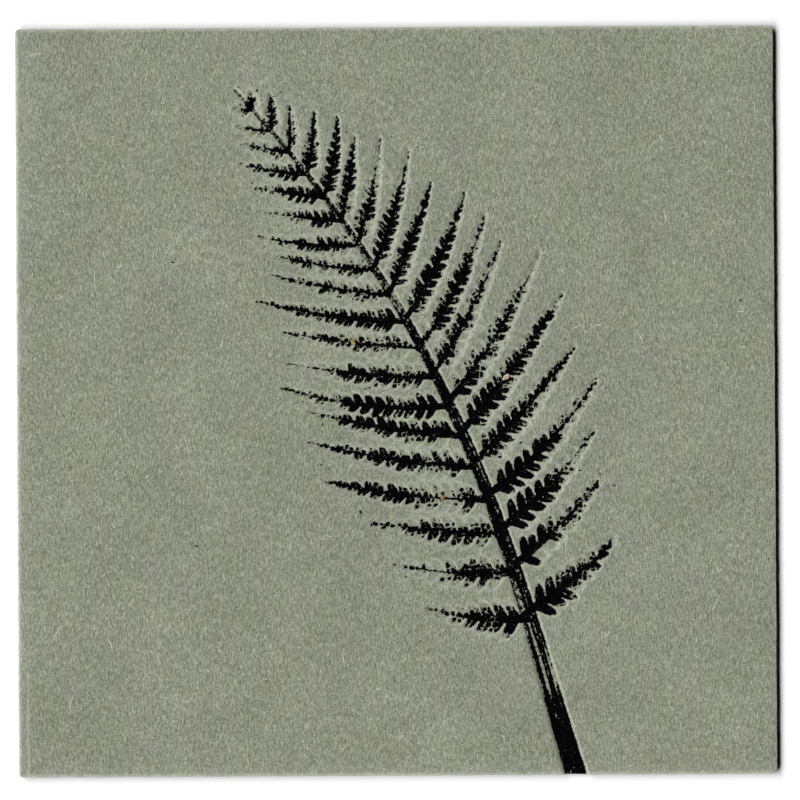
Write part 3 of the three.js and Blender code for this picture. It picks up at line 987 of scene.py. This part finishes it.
def ink_inside(x, y):
    """How far inside the ink each point lies, and the number of the ink's part that it is on."""
    share, off, past = stem_coordinates(x, y)
    half, run = stem_half_width(share), share * stem_length
    best = np.minimum(half - np.abs(off), STEM_POINT - past)
    for slit in STEM_SLITS:
        best = np.minimum(best, outside_slit(slit, x, y, run, off, half))
    part = np.zeros(x.shape, int)
    for leaf in leaflets:
        here = near(leaf, x, y, INK_MARGIN)
        if not here.any():
            continue
        inside = leaflet_ink(leaf, x[here], y[here])
        better = inside > best[here]
        spots = np.flatnonzero(here)[better]
        best[spots] = inside[better]
        part[spots] = 1 if leaf["side"] > 0 else 2
    dry = DRY * np.clip(uneven(x, y, DRY_SIZE, seed=41) - DRY_FROM, 0, 1)
    coarse = COARSE_EDGE * uneven(x, y, COARSE_EDGE_SIZE, seed=42)
    fine = FINE_EDGE * uneven(x, y, FINE_EDGE_SIZE, seed=43)
    return best - dry + (coarse + fine) + INK_SPREAD, part


print("inside the stem's ink by", round(float(ink_inside(probe[:1], probe[1:])[0][0]) / MM, 2), "mm")

# %% Lay a grid and cut it to the ink
INK_CELL = 0.14 * MM
# The grid's corners. The stem runs off the card, so the grid starts where the rounded rim ends.
INK_LOW = np.array([-32.0, -HEIGHT / 2 / MM + RIM / MM]) * MM
INK_HIGH = np.array([34.0, 52.0]) * MM

span = INK_HIGH - INK_LOW
sheet = bmesh.new()
bmesh.ops.create_grid(
    sheet, x_segments=round(span[0] / INK_CELL), y_segments=round(span[1] / INK_CELL), size=0.5)
bmesh.ops.scale(sheet, vec=(span[0], span[1], 1), verts=sheet.verts)
bmesh.ops.translate(sheet, vec=(*(INK_LOW + span / 2), 0), verts=sheet.verts)

inside, part = ink_inside(*face_middles(sheet))
bare = [face for face, how_far in zip(sheet.faces, inside) if how_far <= 0]
for face, number in zip(sheet.faces, part):
    face.material_index = int(number)
bmesh.ops.delete(sheet, geom=bare, context="FACES")
print("the ink film has", len(sheet.faces), "cells")

# %% Move the film's edge onto the outline
# Each edge point moves down the slope of the distance. These limits keep it from going too far.
PROBE_STEP = 0.02 * MM
FLATTEST = 0.2
LONGEST_MOVE = 0.5 * INK_CELL
NO_MOVE = 1e-9

pinched = [vert for vert in sheet.verts if sum(edge.is_boundary for edge in vert.link_edges) > 2]
loose_edges = {edge for vert in pinched for edge in vert.link_edges if edge.is_boundary}
bmesh.ops.split_edges(sheet, edges=list(loose_edges), verts=pinched, use_verts=True)
edge_verts = [vert for vert in sheet.verts if vert.is_boundary]
co = places(edge_verts)
here, _ = ink_inside(co[:, 0], co[:, 1])
along_x = (ink_inside(co[:, 0] + PROBE_STEP, co[:, 1])[0] - here) / PROBE_STEP
along_y = (ink_inside(co[:, 0], co[:, 1] + PROBE_STEP)[0] - here) / PROBE_STEP
steep = np.maximum(along_x ** 2 + along_y ** 2, FLATTEST)
move = np.stack([-here * along_x / steep, -here * along_y / steep], axis=1)
size = np.linalg.norm(move, axis=1)
move *= np.minimum(1, LONGEST_MOVE / np.maximum(size, NO_MOVE))[:, None]
for vert, step in zip(edge_verts, move):
    vert.co.x += step[0]
    vert.co.y += step[1]
print(len(edge_verts), "vertices moved onto the outline")

# %% Drop the film onto the face and thicken it
INK_THICKNESS = 0.03 * MM
INK_SUNK = 0.004 * MM
SHARP = 0.9


def thicken(mesh, thickness):
    """Closes a thin sheet into a body, by lifting a copy of it and walling the gap all round."""
    lifted = bmesh.ops.extrude_face_region(mesh, geom=mesh.faces[:], use_keep_orig=True)["geom"]
    top = [item for item in lifted if isinstance(item, bmesh.types.BMVert)]
    bmesh.ops.translate(mesh, vec=(0, 0, thickness), verts=top)
    bmesh.ops.recalc_face_normals(mesh, faces=mesh.faces)


co = places(sheet.verts)
co[:, 2] = face_height(co[:, 0], co[:, 1]) - INK_SUNK
inside, _ = ink_inside(co[:, 0], co[:, 1])
inside_layer = sheet.verts.layers.float.new("inside")
for vert, place, how_far in zip(sheet.verts, co, inside):
    vert.co = place
    vert[inside_layer] = 0.0 if vert.is_boundary else max(how_far, 0.0) / MM
films = []
for number, name in enumerate(INK_PARTS):
    film = sheet.copy()
    others = [face for face in film.faces if face.material_index != number]
    bmesh.ops.delete(film, geom=others, context="FACES")
    for face in film.faces:
        face.material_index = 0
        face.smooth = True
    thicken(film, INK_THICKNESS)
    for edge in film.edges:
        if edge.is_manifold and edge.calc_face_angle(0) > SHARP:
            edge.smooth = False
    films.append((name, film))
sheet.free()
print("the film is in", len(films), "parts")

# %% [markdown]
# ## Relief ink on board
# Oil-based relief ink dries matt and very dark, because it is soot in oil, in a thin film over rough
# fibres. Close to, its edge isn't a line: each fibre took ink or didn't, so the last tenth of a
# millimetre is ragged, and there are pinholes. The film's mesh carries how far each point lies
# inside it, and a fine noise is set against that distance to let the board show through.

# %% Ink that gives way to board at its edge
EDGE_GRIT, GRIT_FROM, GRIT_TO = 0.13 * MM, 0.40, 0.80
# In mm: how wide the ragged edge is, and over which distances from its line the film gives out.
RAGGED_WIDTH, FILM_GONE, FILM_WHOLE = 0.09, -0.01, 0.012
PINHOLE_SIZE, PINHOLE_CORE, PINHOLE_EDGE = 0.3 * MM, 0.70, 0.685
SOOT_SIZE, SOOT_TONES = 0.9 * MM, ((0.40, "#010101"), (0.55, "#020204"), (0.70, "#07070C"))
INK_ROUGHNESS = 0.8

ink_material, tree = new_material("black_relief_ink_on_board")
# Soot black, a little smoother than the board, and bare board wherever the film gave out.
board_colour, board_height = board_pattern(tree)
place = node(tree, "ShaderNodeTexCoord").outputs["Object"]
inside_by = node(tree, "ShaderNodeAttribute", attribute_name="inside", attribute_type="GEOMETRY")
grit = node(tree, "ShaderNodeTexNoise", {
    "Vector": place, "Scale": 1 / EDGE_GRIT, "Detail": 2.0, "Roughness": 0.6})
wanted = node(tree, "ShaderNodeMapRange", {
    "Value": grit, "From Min": GRIT_FROM, "From Max": GRIT_TO, "To Max": RAGGED_WIDTH})
spare = node(tree, "ShaderNodeMath", {0: inside_by.outputs["Fac"], 1: wanted}, operation="SUBTRACT")
cover = node(tree, "ShaderNodeMapRange", {"Value": spare, "From Min": FILM_GONE, "From Max": FILM_WHOLE})
pinholes = node(tree, "ShaderNodeTexNoise", {
    "Vector": place, "Scale": 1 / PINHOLE_SIZE, "Detail": 3.0, "Roughness": 0.7})
whole = node(tree, "ShaderNodeMapRange", {
    "Value": pinholes, "From Min": PINHOLE_CORE, "From Max": PINHOLE_EDGE})
inked = node(tree, "ShaderNodeMath", {0: cover, 1: whole}, operation="MULTIPLY")
soot = node(tree, "ShaderNodeTexNoise", {"Vector": place, "Scale": 1 / SOOT_SIZE, "Detail": 3.0})
black = node(tree, "ShaderNodeValToRGB", {"Fac": soot}, stops=SOOT_TONES)
colour = node(tree, "ShaderNodeMix", {
    "Factor": inked, "A": board_colour, "B": black}, data_type="RGBA")
gloss = node(tree, "ShaderNodeMapRange", {
    "Value": inked, "To Min": BOARD_ROUGHNESS, "To Max": INK_ROUGHNESS})
bump = node(tree, "ShaderNodeBump", {"Height": board_height, "Strength": 0.4, "Distance": GRAIN_HEIGHT})
shader = node(tree, "ShaderNodeBsdfPrincipled", {
    "Base Color": colour, "Roughness": gloss, "IOR": 1.48, "Specular IOR Level": 0.03, "Normal": bump})
node(tree, "ShaderNodeOutputMaterial", {"Surface": shader})
for name, film in films:
    finished(film, name, [ink_material], "ink_frond")

# %% [markdown]
# ## Stray specks of ink
# A roller throws tiny drops, and loose bits of plant leave marks of their own round the print. They
# could be dots in the board's colour, but they are ink that lies on the face, as the print is. So
# each is a small disc with an uneven outline, as flat as the film, in the film's own material.

# %% Scatter the specks near the frond
SPECKS = 200
EVERY_STRAY = 7
SPECK_SIDES = 9
SPECK_THICKNESS = 0.025 * MM
# How far along a leaflet specks lie, and how far beside it in halves of its width.
SPECKS_ALONG, SPECKS_BESIDE = (0.1, 1.1), 1.7
STRAY_REACH, CLEAR_OF_RIM = 0.96, 2 * MM
# A speck's radius in mm: the smallest, what is added to it on average, and the largest.
SMALLEST_SPECK, SPECK_GROWTH, LARGEST_SPECK = 0.05, 0.055, 0.26
SPECK_SQUEEZE, SPECK_UNEVEN = (0.55, 1.0), (0.72, 1.15)
SPECK_SEED = 7
# Specks are ink through and through, so each point says that it lies far inside, in mm.
ALL_INK = 1.0

draw = np.random.default_rng(SPECK_SEED)
specks = bmesh.new()
solid_layer = specks.verts.layers.float.new("inside")
placed = 0
while placed < SPECKS:
    leaf = leaflets[draw.integers(len(leaflets))]
    s, off = draw.uniform(*SPECKS_ALONG), draw.normal(0, SPECKS_BESIDE) * leaf["half_width"]
    spot = on_midrib(leaf, s) + np.array([-leaf["heading"][1], leaf["heading"][0]]) * off
    if placed % EVERY_STRAY == 0:
        spot = draw.uniform(-STRAY_REACH, STRAY_REACH, 2) * (WIDTH / 2, HEIGHT / 2)
    radius = min(LARGEST_SPECK, SMALLEST_SPECK + draw.exponential(SPECK_GROWTH)) * MM
    clear = ink_inside(spot[:1], spot[1:])[0][0] < -radius
    if not clear or max(abs(spot[0]) - WIDTH / 2, abs(spot[1]) - HEIGHT / 2) > -CLEAR_OF_RIM:
        continue
    disc = bmesh.ops.create_circle(specks, cap_ends=True, segments=SPECK_SIDES, radius=radius)["verts"]
    squeeze, turn = draw.uniform(*SPECK_SQUEEZE), draw.uniform(0, math.pi)
    for vert in disc:
        vert.co *= draw.uniform(*SPECK_UNEVEN)
        vert[solid_layer] = ALL_INK
    bmesh.ops.scale(specks, vec=(1, squeeze, 1), verts=disc)
    bmesh.ops.rotate(specks, cent=(0, 0, 0), matrix=Matrix.Rotation(turn, 3, "Z"), verts=disc)
    low = face_height(spot[:1], spot[1:])[0]
    bmesh.ops.translate(specks, vec=(spot[0], spot[1], low - INK_SUNK), verts=disc)
    placed += 1
thicken(specks, SPECK_THICKNESS)
finished(specks, "ink_specks", [ink_material])

# %% [markdown]
# ## Flecks of husk
# Three flecks of the plant's dry skin came off in the press and stayed stuck in the print: a cream,
# an olive and a brown one, each about a millimetre long. They are papery, curled a little at the
# ends and ribbed along their length, so each is a small grid that is trimmed to a torn outline,
# bent, ribbed and given a thickness, and not a smooth pebble.

# %% Where the flecks lie
# Each fleck's colours run from its dark lines through its body to a pale tone, which is a painted highlight
# on its crests.
HUSK_FLECKS = (
    {"name": "cream_husk", "node": "husk_fleck_1", "pair": 5, "side": 1, "along": 0.42,
     "length": 1.3 * MM, "width": 0.7 * MM, "turn": 0.5, "colours": ("#7A5E3C", "#CDBA96", "#EFE6D2")},
    {"name": "olive_husk", "node": "husk_fleck_2", "pair": 8, "side": -1, "along": 0.5,
     "length": 1.0 * MM, "width": 0.6 * MM, "turn": 2.1, "colours": ("#5C4C1C", "#9C8748", "#C6B274")},
    {"name": "brown_husk", "node": "husk_fleck_3", "pair": 3, "side": -1, "along": 0.3,
     "length": 0.9 * MM, "width": 0.55 * MM, "turn": 1.2, "colours": ("#2A1A10", "#8A5E3C", "#C49A72")},
)


def husk_place(husk):
    """Where a fleck lies: on the midrib of its leaflet, some way along."""
    leaf = leaflets[2 * husk["pair"] + (1 if husk["side"] > 0 else 0)]
    return on_midrib(leaf, husk["along"])


print("the cream fleck lies at", [round(float(v) / MM, 1) for v in husk_place(HUSK_FLECKS[0])], "mm")

# %% Shape the flecks
HUSK_CELLS = (22, 14)
HUSK_THICKNESS = 0.03 * MM
HUSK_RIBS, RIB_DRIFT = 3, 1.5
HUSK_SEED, SEEDS_APART = 60, 5
# How uneven the torn sides, the blunt ends and the pitted skin are: how much, how fast the pattern
# runs over the fleck, and its bumps' size. Opposite edges read it far apart, so they don't match.
TORN, TORN_PACE, TORN_BUMP = 0.13, 3, 0.35
BLUNT, BLUNT_PACE, BLUNT_BUMP = 0.17, 4, 0.5
PIT_PACE, PIT_BUMP = 9, 1.0
EDGES_APART = 2
# How wide a fleck still is at its ends, and how much wider one half is than the other.
END_SHARE, ONE_END_WIDER = 0.38, 0.4
# Heights in mm: how far a fleck crowns across, its ribs stand up, its ends curl, and its skin pits.
HUSK_CROWN, HUSK_RIB, HUSK_CURL, HUSK_PIT = 0.07, 0.022, 0.10, 0.012
CURLS_FROM = 0.5


def husk_mesh(husk, seed):
    """A ribbed, curled scrap with a torn outline."""
    mesh = bmesh.new()
    bmesh.ops.create_grid(mesh, x_segments=HUSK_CELLS[0], y_segments=HUSK_CELLS[1], size=0.5)
    co = places(mesh.verts)
    along, across = co[:, 0].copy(), co[:, 1].copy()
    torn = TORN * uneven(TORN_PACE * along, EDGES_APART * np.sign(across), TORN_BUMP, seed)
    blunt = BLUNT * uneven(BLUNT_PACE * across, EDGES_APART * np.sign(along), BLUNT_BUMP, seed + 1)
    oval = (1 - np.abs(2 * along) ** 4) ** 0.5
    half = (oval * (1 - END_SHARE) + END_SHARE + torn) * (1 + ONE_END_WIDER * along)
    co[:, 0] = husk["length"] * along * (1 + blunt)
    co[:, 1] = husk["width"] * across * half
    crown = 1 - (2 * across) ** 2
    ribs = 0.5 + 0.5 * np.cos(2 * math.pi * HUSK_RIBS * across + RIB_DRIFT * along)
    curl = np.clip(np.abs(2 * along) - CURLS_FROM, 0, 1) ** 2
    co[:, 2] = MM * (HUSK_CROWN * crown + HUSK_RIB * ribs + HUSK_CURL * curl * (1 - 0.5 * crown))
    co[:, 2] += HUSK_PIT * MM * uneven(PIT_PACE * along, PIT_PACE * across, PIT_BUMP, seed + 2)
    spot = husk_place(husk)
    low = face_height(spot[:1], spot[1:])[0] + INK_THICKNESS
    cos_turn, sin_turn = math.cos(husk["turn"]), math.sin(husk["turn"])
    for vert, (px, py, pz) in zip(mesh.verts, co):
        x = spot[0] + px * cos_turn - py * sin_turn
        y = spot[1] + px * sin_turn + py * cos_turn
        vert.co = (x, y, low + pz)
    thicken(mesh, HUSK_THICKNESS)
    for face in mesh.faces:
        face.smooth = True
    return mesh


scraps = [husk_mesh(husk, HUSK_SEED + SEEDS_APART * n) for n, husk in enumerate(HUSK_FLECKS)]
print(len(scraps), "flecks, with", [len(scrap.faces) for scrap in scraps], "faces")

# %% Dry plant skin, streaked along its ribs
HUSK_LINE, HUSK_LINE_SQUEEZE = 0.13 * MM, 0.16
HUSK_STOPS = (0.41, 0.50, 0.60)
HUSK_LINE_HEIGHT = 0.03 * MM


def husk_material(husk):
    """Papery dry skin: matt, with fine dark lines that run along it, and paler crests that are a painted
    highlight.
    """
    material, tree = new_material("dry_plant_husk_" + husk["name"].split("_")[0])
    place = node(tree, "ShaderNodeTexCoord").outputs["Object"]
    own = node(tree, "ShaderNodeMapping", {
        "Vector": place, "Location": (*husk_place(husk), 0), "Rotation": (0, 0, husk["turn"])},
        vector_type="TEXTURE")
    drawn_out = node(tree, "ShaderNodeMapping", {"Vector": own, "Scale": (HUSK_LINE_SQUEEZE, 1, 1)})
    lines = node(tree, "ShaderNodeTexNoise", {
        "Vector": drawn_out, "Scale": 1 / HUSK_LINE, "Detail": 3.0, "Roughness": 0.6})
    colour = node(tree, "ShaderNodeValToRGB", {"Fac": lines}, stops=list(zip(HUSK_STOPS, husk["colours"])))
    bump = node(tree, "ShaderNodeBump", {"Height": lines, "Strength": 0.6, "Distance": HUSK_LINE_HEIGHT})
    shader = node(tree, "ShaderNodeBsdfPrincipled", {
        "Base Color": colour, "Roughness": 0.6, "IOR": 1.53, "Specular IOR Level": 0.35, "Normal": bump})
    node(tree, "ShaderNodeOutputMaterial", {"Surface": shader})
    return material


for scrap, husk in zip(scraps, HUSK_FLECKS):
    finished(scrap, husk["name"], [husk_material(husk)], husk["node"])

# %% [markdown]
# ## Stray fibres
# Waste paper leaves longer fibres in the board than its own short grain: pale threads up to 3.4 mm
# long that lie flat in the face, a few dark ones, and short ends that stand out of the cut sides. A
# noise can't draw one clean curved thread, so these are real ribbons. Each starts as a narrow grid
# that is swept along an arc, tapered, raised along its middle and laid on the face.

# %% Sweep a ribbon along an arc
FIBRE_STEPS, FIBRE_STRIPS = 9, 2
FIBRE_THICKNESS = 0.012 * MM
# How far a fibre's middle line and its edges stand off the face, in mm.
FIBRE_CREST, FIBRE_EDGE = 0.010, 0.002
ENDS_NARROWED = 0.8
FIBRE_REACH = 0.97
UNTOUCHED = 0.001 * MM


def lay_fibre(mesh, spot, turn, curl, length, width, rise=0.0):
    """Adds one fibre. It lies on the face, or climbs away from its start where rise is given."""
    ribbon = bmesh.ops.create_grid(
        mesh, x_segments=FIBRE_STEPS, y_segments=FIBRE_STRIPS, size=0.5)["verts"]
    co = places(ribbon)
    along, across = co[:, 0], co[:, 1]
    angle = turn + curl * along
    centre_x = spot[0] + length / curl * (np.sin(angle) - math.sin(turn))
    centre_y = spot[1] - length / curl * (np.cos(angle) - math.cos(turn))
    breadth = width * (1 - ENDS_NARROWED * np.abs(2 * along) ** 3)
    x = centre_x - np.sin(angle) * across * breadth
    y = centre_y + np.cos(angle) * across * breadth
    z = face_height(x, y) if rise == 0 else np.full(len(x), spot[2]) + rise * (along + 0.5)
    on_crest = np.abs(across) < 0.5 / FIBRE_STRIPS
    z = z + np.where(on_crest, FIBRE_CREST, FIBRE_EDGE) * MM
    for vert, place in zip(ribbon, zip(x, y, z)):
        vert.co = place


def bare_spot(draw):
    """A random spot of the face that the plant didn't press."""
    while True:
        spot = draw.uniform(-FIBRE_REACH, FIBRE_REACH, 2) * (WIDTH / 2, HEIGHT / 2)
        if pressed(spot[:1], spot[1:])[0][0] < UNTOUCHED:
            return spot


print("one fibre has", FIBRE_STEPS * FIBRE_STRIPS, "faces before it is closed")

# %% Lay the pale and the dark fibres
pale, dark = bmesh.new(), bmesh.new()
# Each kind's mesh, how many there are, and its shortest, longest, narrowest and widest in mm.
FIBRE_KINDS = (
    (pale, 20, 1.6, 3.4, 0.09, 0.13), (pale, 90, 0.4, 1.4, 0.10, 0.16), (pale, 180, 0.2, 0.6, 0.09, 0.16),
    (pale, 40, 0.2, 0.34, 0.16, 0.24), (dark, 34, 0.4, 1.6, 0.07, 0.12))
LEAST_CURL, MOST_CURL = 0.15, 1.1
FACE_SCATTER = 0.6
FIBRE_SEED = 19

draw = np.random.default_rng(FIBRE_SEED)
for mesh, count, shortest, longest, narrowest, widest in FIBRE_KINDS:
    for _ in range(count):
        length, width = draw.uniform(shortest, longest) * MM, draw.uniform(narrowest, widest) * MM
        curl = draw.choice((-1, 1)) * draw.uniform(LEAST_CURL, MOST_CURL)
        turn = math.pi / 2 + draw.normal(0, FACE_SCATTER)
        lay_fibre(mesh, bare_spot(draw), turn, curl, length, width)
print(sum(kind[1] for kind in FIBRE_KINDS), "fibres lie in the face")

# %% Let torn ends stand out of the cut sides
EDGE_FIBRES = 110
ROOTED = 0.05 * MM
EDGE_CURL, EDGE_SCATTER, EDGE_FIBRE_WIDTH = 0.8, 0.7, 0.04 * MM
EDGE_REACH = 0.98
# In mm: how far up the side they are rooted, how long they are, and how far they climb or fall.
EDGE_HEIGHTS, EDGE_LENGTHS, EDGE_RISE = (0.3, 1.0), (0.15, 0.42), 0.1

for _ in range(EDGE_FIBRES):
    side, run = draw.integers(4), draw.uniform(-EDGE_REACH, EDGE_REACH)
    lean = TOP_SHORTFALL * (run + 1) / 2
    x, y, turn = (
        (WIDTH / 2 - lean, run * HEIGHT / 2, 0), (run * WIDTH / 2, HEIGHT / 2, math.pi / 2),
        (-WIDTH / 2, run * HEIGHT / 2, math.pi), (run * WIDTH / 2, -HEIGHT / 2, -math.pi / 2))[side]
    x, y = x - ROOTED * math.cos(turn), y - ROOTED * math.sin(turn)
    spot = np.array([x, y, draw.uniform(*EDGE_HEIGHTS) * MM])
    turn, length = turn + draw.normal(0, EDGE_SCATTER), draw.uniform(*EDGE_LENGTHS) * MM
    rise = draw.uniform(-EDGE_RISE, EDGE_RISE) * MM
    lay_fibre(pale, spot, turn, EDGE_CURL, length, EDGE_FIBRE_WIDTH, rise)
print(EDGE_FIBRES, "torn ends stand out of the sides")

# %% Waste-paper fibre
FIBRE_WORN_SIZE = 0.5 * MM


def fibre_material(name, thin_colour, full_colour):
    """Loose cellulose: matt, and a little uneven along its length where dye has worn off."""
    material, tree = new_material(name)
    place = node(tree, "ShaderNodeTexCoord").outputs["Object"]
    worn = node(tree, "ShaderNodeTexNoise", {
        "Vector": place, "Scale": 1 / FIBRE_WORN_SIZE, "Detail": 2.0})
    colour = node(tree, "ShaderNodeMix", {
        "Factor": worn, "A": linear(thin_colour), "B": linear(full_colour)}, data_type="RGBA")
    shader = node(tree, "ShaderNodeBsdfPrincipled", {
        "Base Color": colour, "Roughness": 0.85, "IOR": 1.53, "Specular IOR Level": 0.2})
    node(tree, "ShaderNodeOutputMaterial", {"Surface": shader})
    return material


for mesh, name, colours in ((pale, "pale", ("#B0B39F", "#DEE0D2")), (dark, "dark", ("#3A3A30", "#6A6C5E"))):
    thicken(mesh, FIBRE_THICKNESS)
    for face in mesh.faces:
        face.smooth = True
    finished(mesh, name + "_fibres", [fibre_material(name + "_paper_fibre", *colours)])

# %% [markdown]
# ## Floor, light and camera
# The card lies on a white table and is seen from straight above through a long lens, which keeps its
# sides square. One long soft light stands on the left, low enough that the right edge throws a
# narrow shadow and every dent shows a dark side and a bright one. The room round it looks white but
# sends almost no light, because a shadow this black leaves no place for more. The table has an
# opening that the card covers, and a second light shines up through it, so that the card's back can
# be looked at as well.

# %% The table
TABLE_REACH = 3.0
OPENING_MARGIN = 1.5 * MM
TABLE_DROP = 0.01 * MM

floor_mesh = bmesh.new()
bmesh.ops.create_grid(floor_mesh, x_segments=3, y_segments=3, size=TABLE_REACH)
inner = [vert for vert in floor_mesh.verts if not vert.is_boundary]
for vert in inner:
    vert.co.x = math.copysign(WIDTH / 2 - OPENING_MARGIN, vert.co.x)
    vert.co.y = math.copysign(HEIGHT / 2 - OPENING_MARGIN, vert.co.y)
opening = [face for face in floor_mesh.faces if all(vert in inner for vert in face.verts)]
bmesh.ops.delete(floor_mesh, geom=opening, context="FACES_ONLY")
floor_data = bpy.data.meshes.new("white_table")
floor_mesh.to_mesh(floor_data)
floor_mesh.free()
floor = bpy.data.objects.new("white_table", floor_data)
floor.location.z = -TABLE_DROP
bpy.context.scene.collection.objects.link(floor)
table_material, tree = new_material("white_card_table")
# Smooth white card: almost all light comes back, evenly, with no gloss that would grey it.
shader = node(tree, "ShaderNodeBsdfPrincipled", {
    "Base Color": linear("#FCFCFC"), "Roughness": 0.9, "Specular IOR Level": 0.1})
node(tree, "ShaderNodeOutputMaterial", {"Surface": shader})
floor_data.materials.append(table_material)
print("the table's top is", round(floor.location.z / MM, 3), "mm up")

# %% The light
# Distances and sizes in metres, and power in watts.
LIGHT_ELEVATION = math.radians(50)
LIGHT_DISTANCE, LIGHT_SIZE, LIGHT_POWER = 6.0, (3.0, 12.0), 782
BELOW_DISTANCE, BELOW_SIZE, BELOW_POWER = 2.2, (1.6, 1.6), 60


def soft_light(name, elevation, distance, size, power):
    """A rectangular light on the left that points at the card. A negative elevation is below it."""
    data = bpy.data.lights.new(name, "AREA")
    data.shape = "RECTANGLE"
    data.size, data.size_y = size
    data.energy = power
    light = bpy.data.objects.new(name, data)
    light.location = (-distance * math.cos(elevation), 0, distance * math.sin(elevation))
    light.rotation_euler = (0, elevation - math.pi / 2, 0)
    bpy.context.scene.collection.objects.link(light)
    print(name, "has its middle", round(light.location.z, 2), "m above the table")


soft_light("long_soft_strip", LIGHT_ELEVATION, LIGHT_DISTANCE, LIGHT_SIZE, LIGHT_POWER)
soft_light("light_below", -LIGHT_ELEVATION, BELOW_DISTANCE, BELOW_SIZE, BELOW_POWER)

# %% The room
# The camera sees plain white, and the card gets only this faint glow from it.
ROOM_GLOW = 0.001

world = bpy.data.worlds.new("white_room")
world.use_nodes = True
tree = world.node_tree
tree.nodes.clear()
faint = node(tree, "ShaderNodeBackground", {"Color": linear("#F4F6FA"), "Strength": ROOM_GLOW})
white = node(tree, "ShaderNodeBackground", {"Color": linear("#FFFFFF"), "Strength": 1.0})
is_seen = node(tree, "ShaderNodeLightPath").outputs["Is Camera Ray"]
room = node(tree, "ShaderNodeMixShader", {0: is_seen, 1: faint, 2: white})
node(tree, "ShaderNodeOutputWorld", {"Surface": room})
bpy.context.scene.world = world
bpy.context.scene.view_settings.view_transform = "Standard"
print("the room:", len(tree.nodes), "nodes")

# %% The camera
# The lens and the sensor in mm, and how much of the card's level the picture spans.
LENS, SENSOR = 200, 36
VIEW_WIDTH = 126.46 * MM
VIEW_CENTRE = (0.60 * MM, 0.22 * MM)
# The card lies turned by a hair, and the camera turns the other way in its place.
CARD_TURN = math.radians(0.312)

camera_data = bpy.data.cameras.new("long_lens")
camera_data.lens, camera_data.sensor_width = LENS, SENSOR
camera = bpy.data.objects.new("long_lens", camera_data)
camera.location = (*VIEW_CENTRE, THICKNESS + VIEW_WIDTH * LENS / SENSOR)
camera.rotation_euler = (0, 0, -CARD_TURN)
bpy.context.scene.collection.objects.link(camera)
bpy.context.scene.camera = camera
print("the camera looks down from", round(camera.location.z, 3), "m")
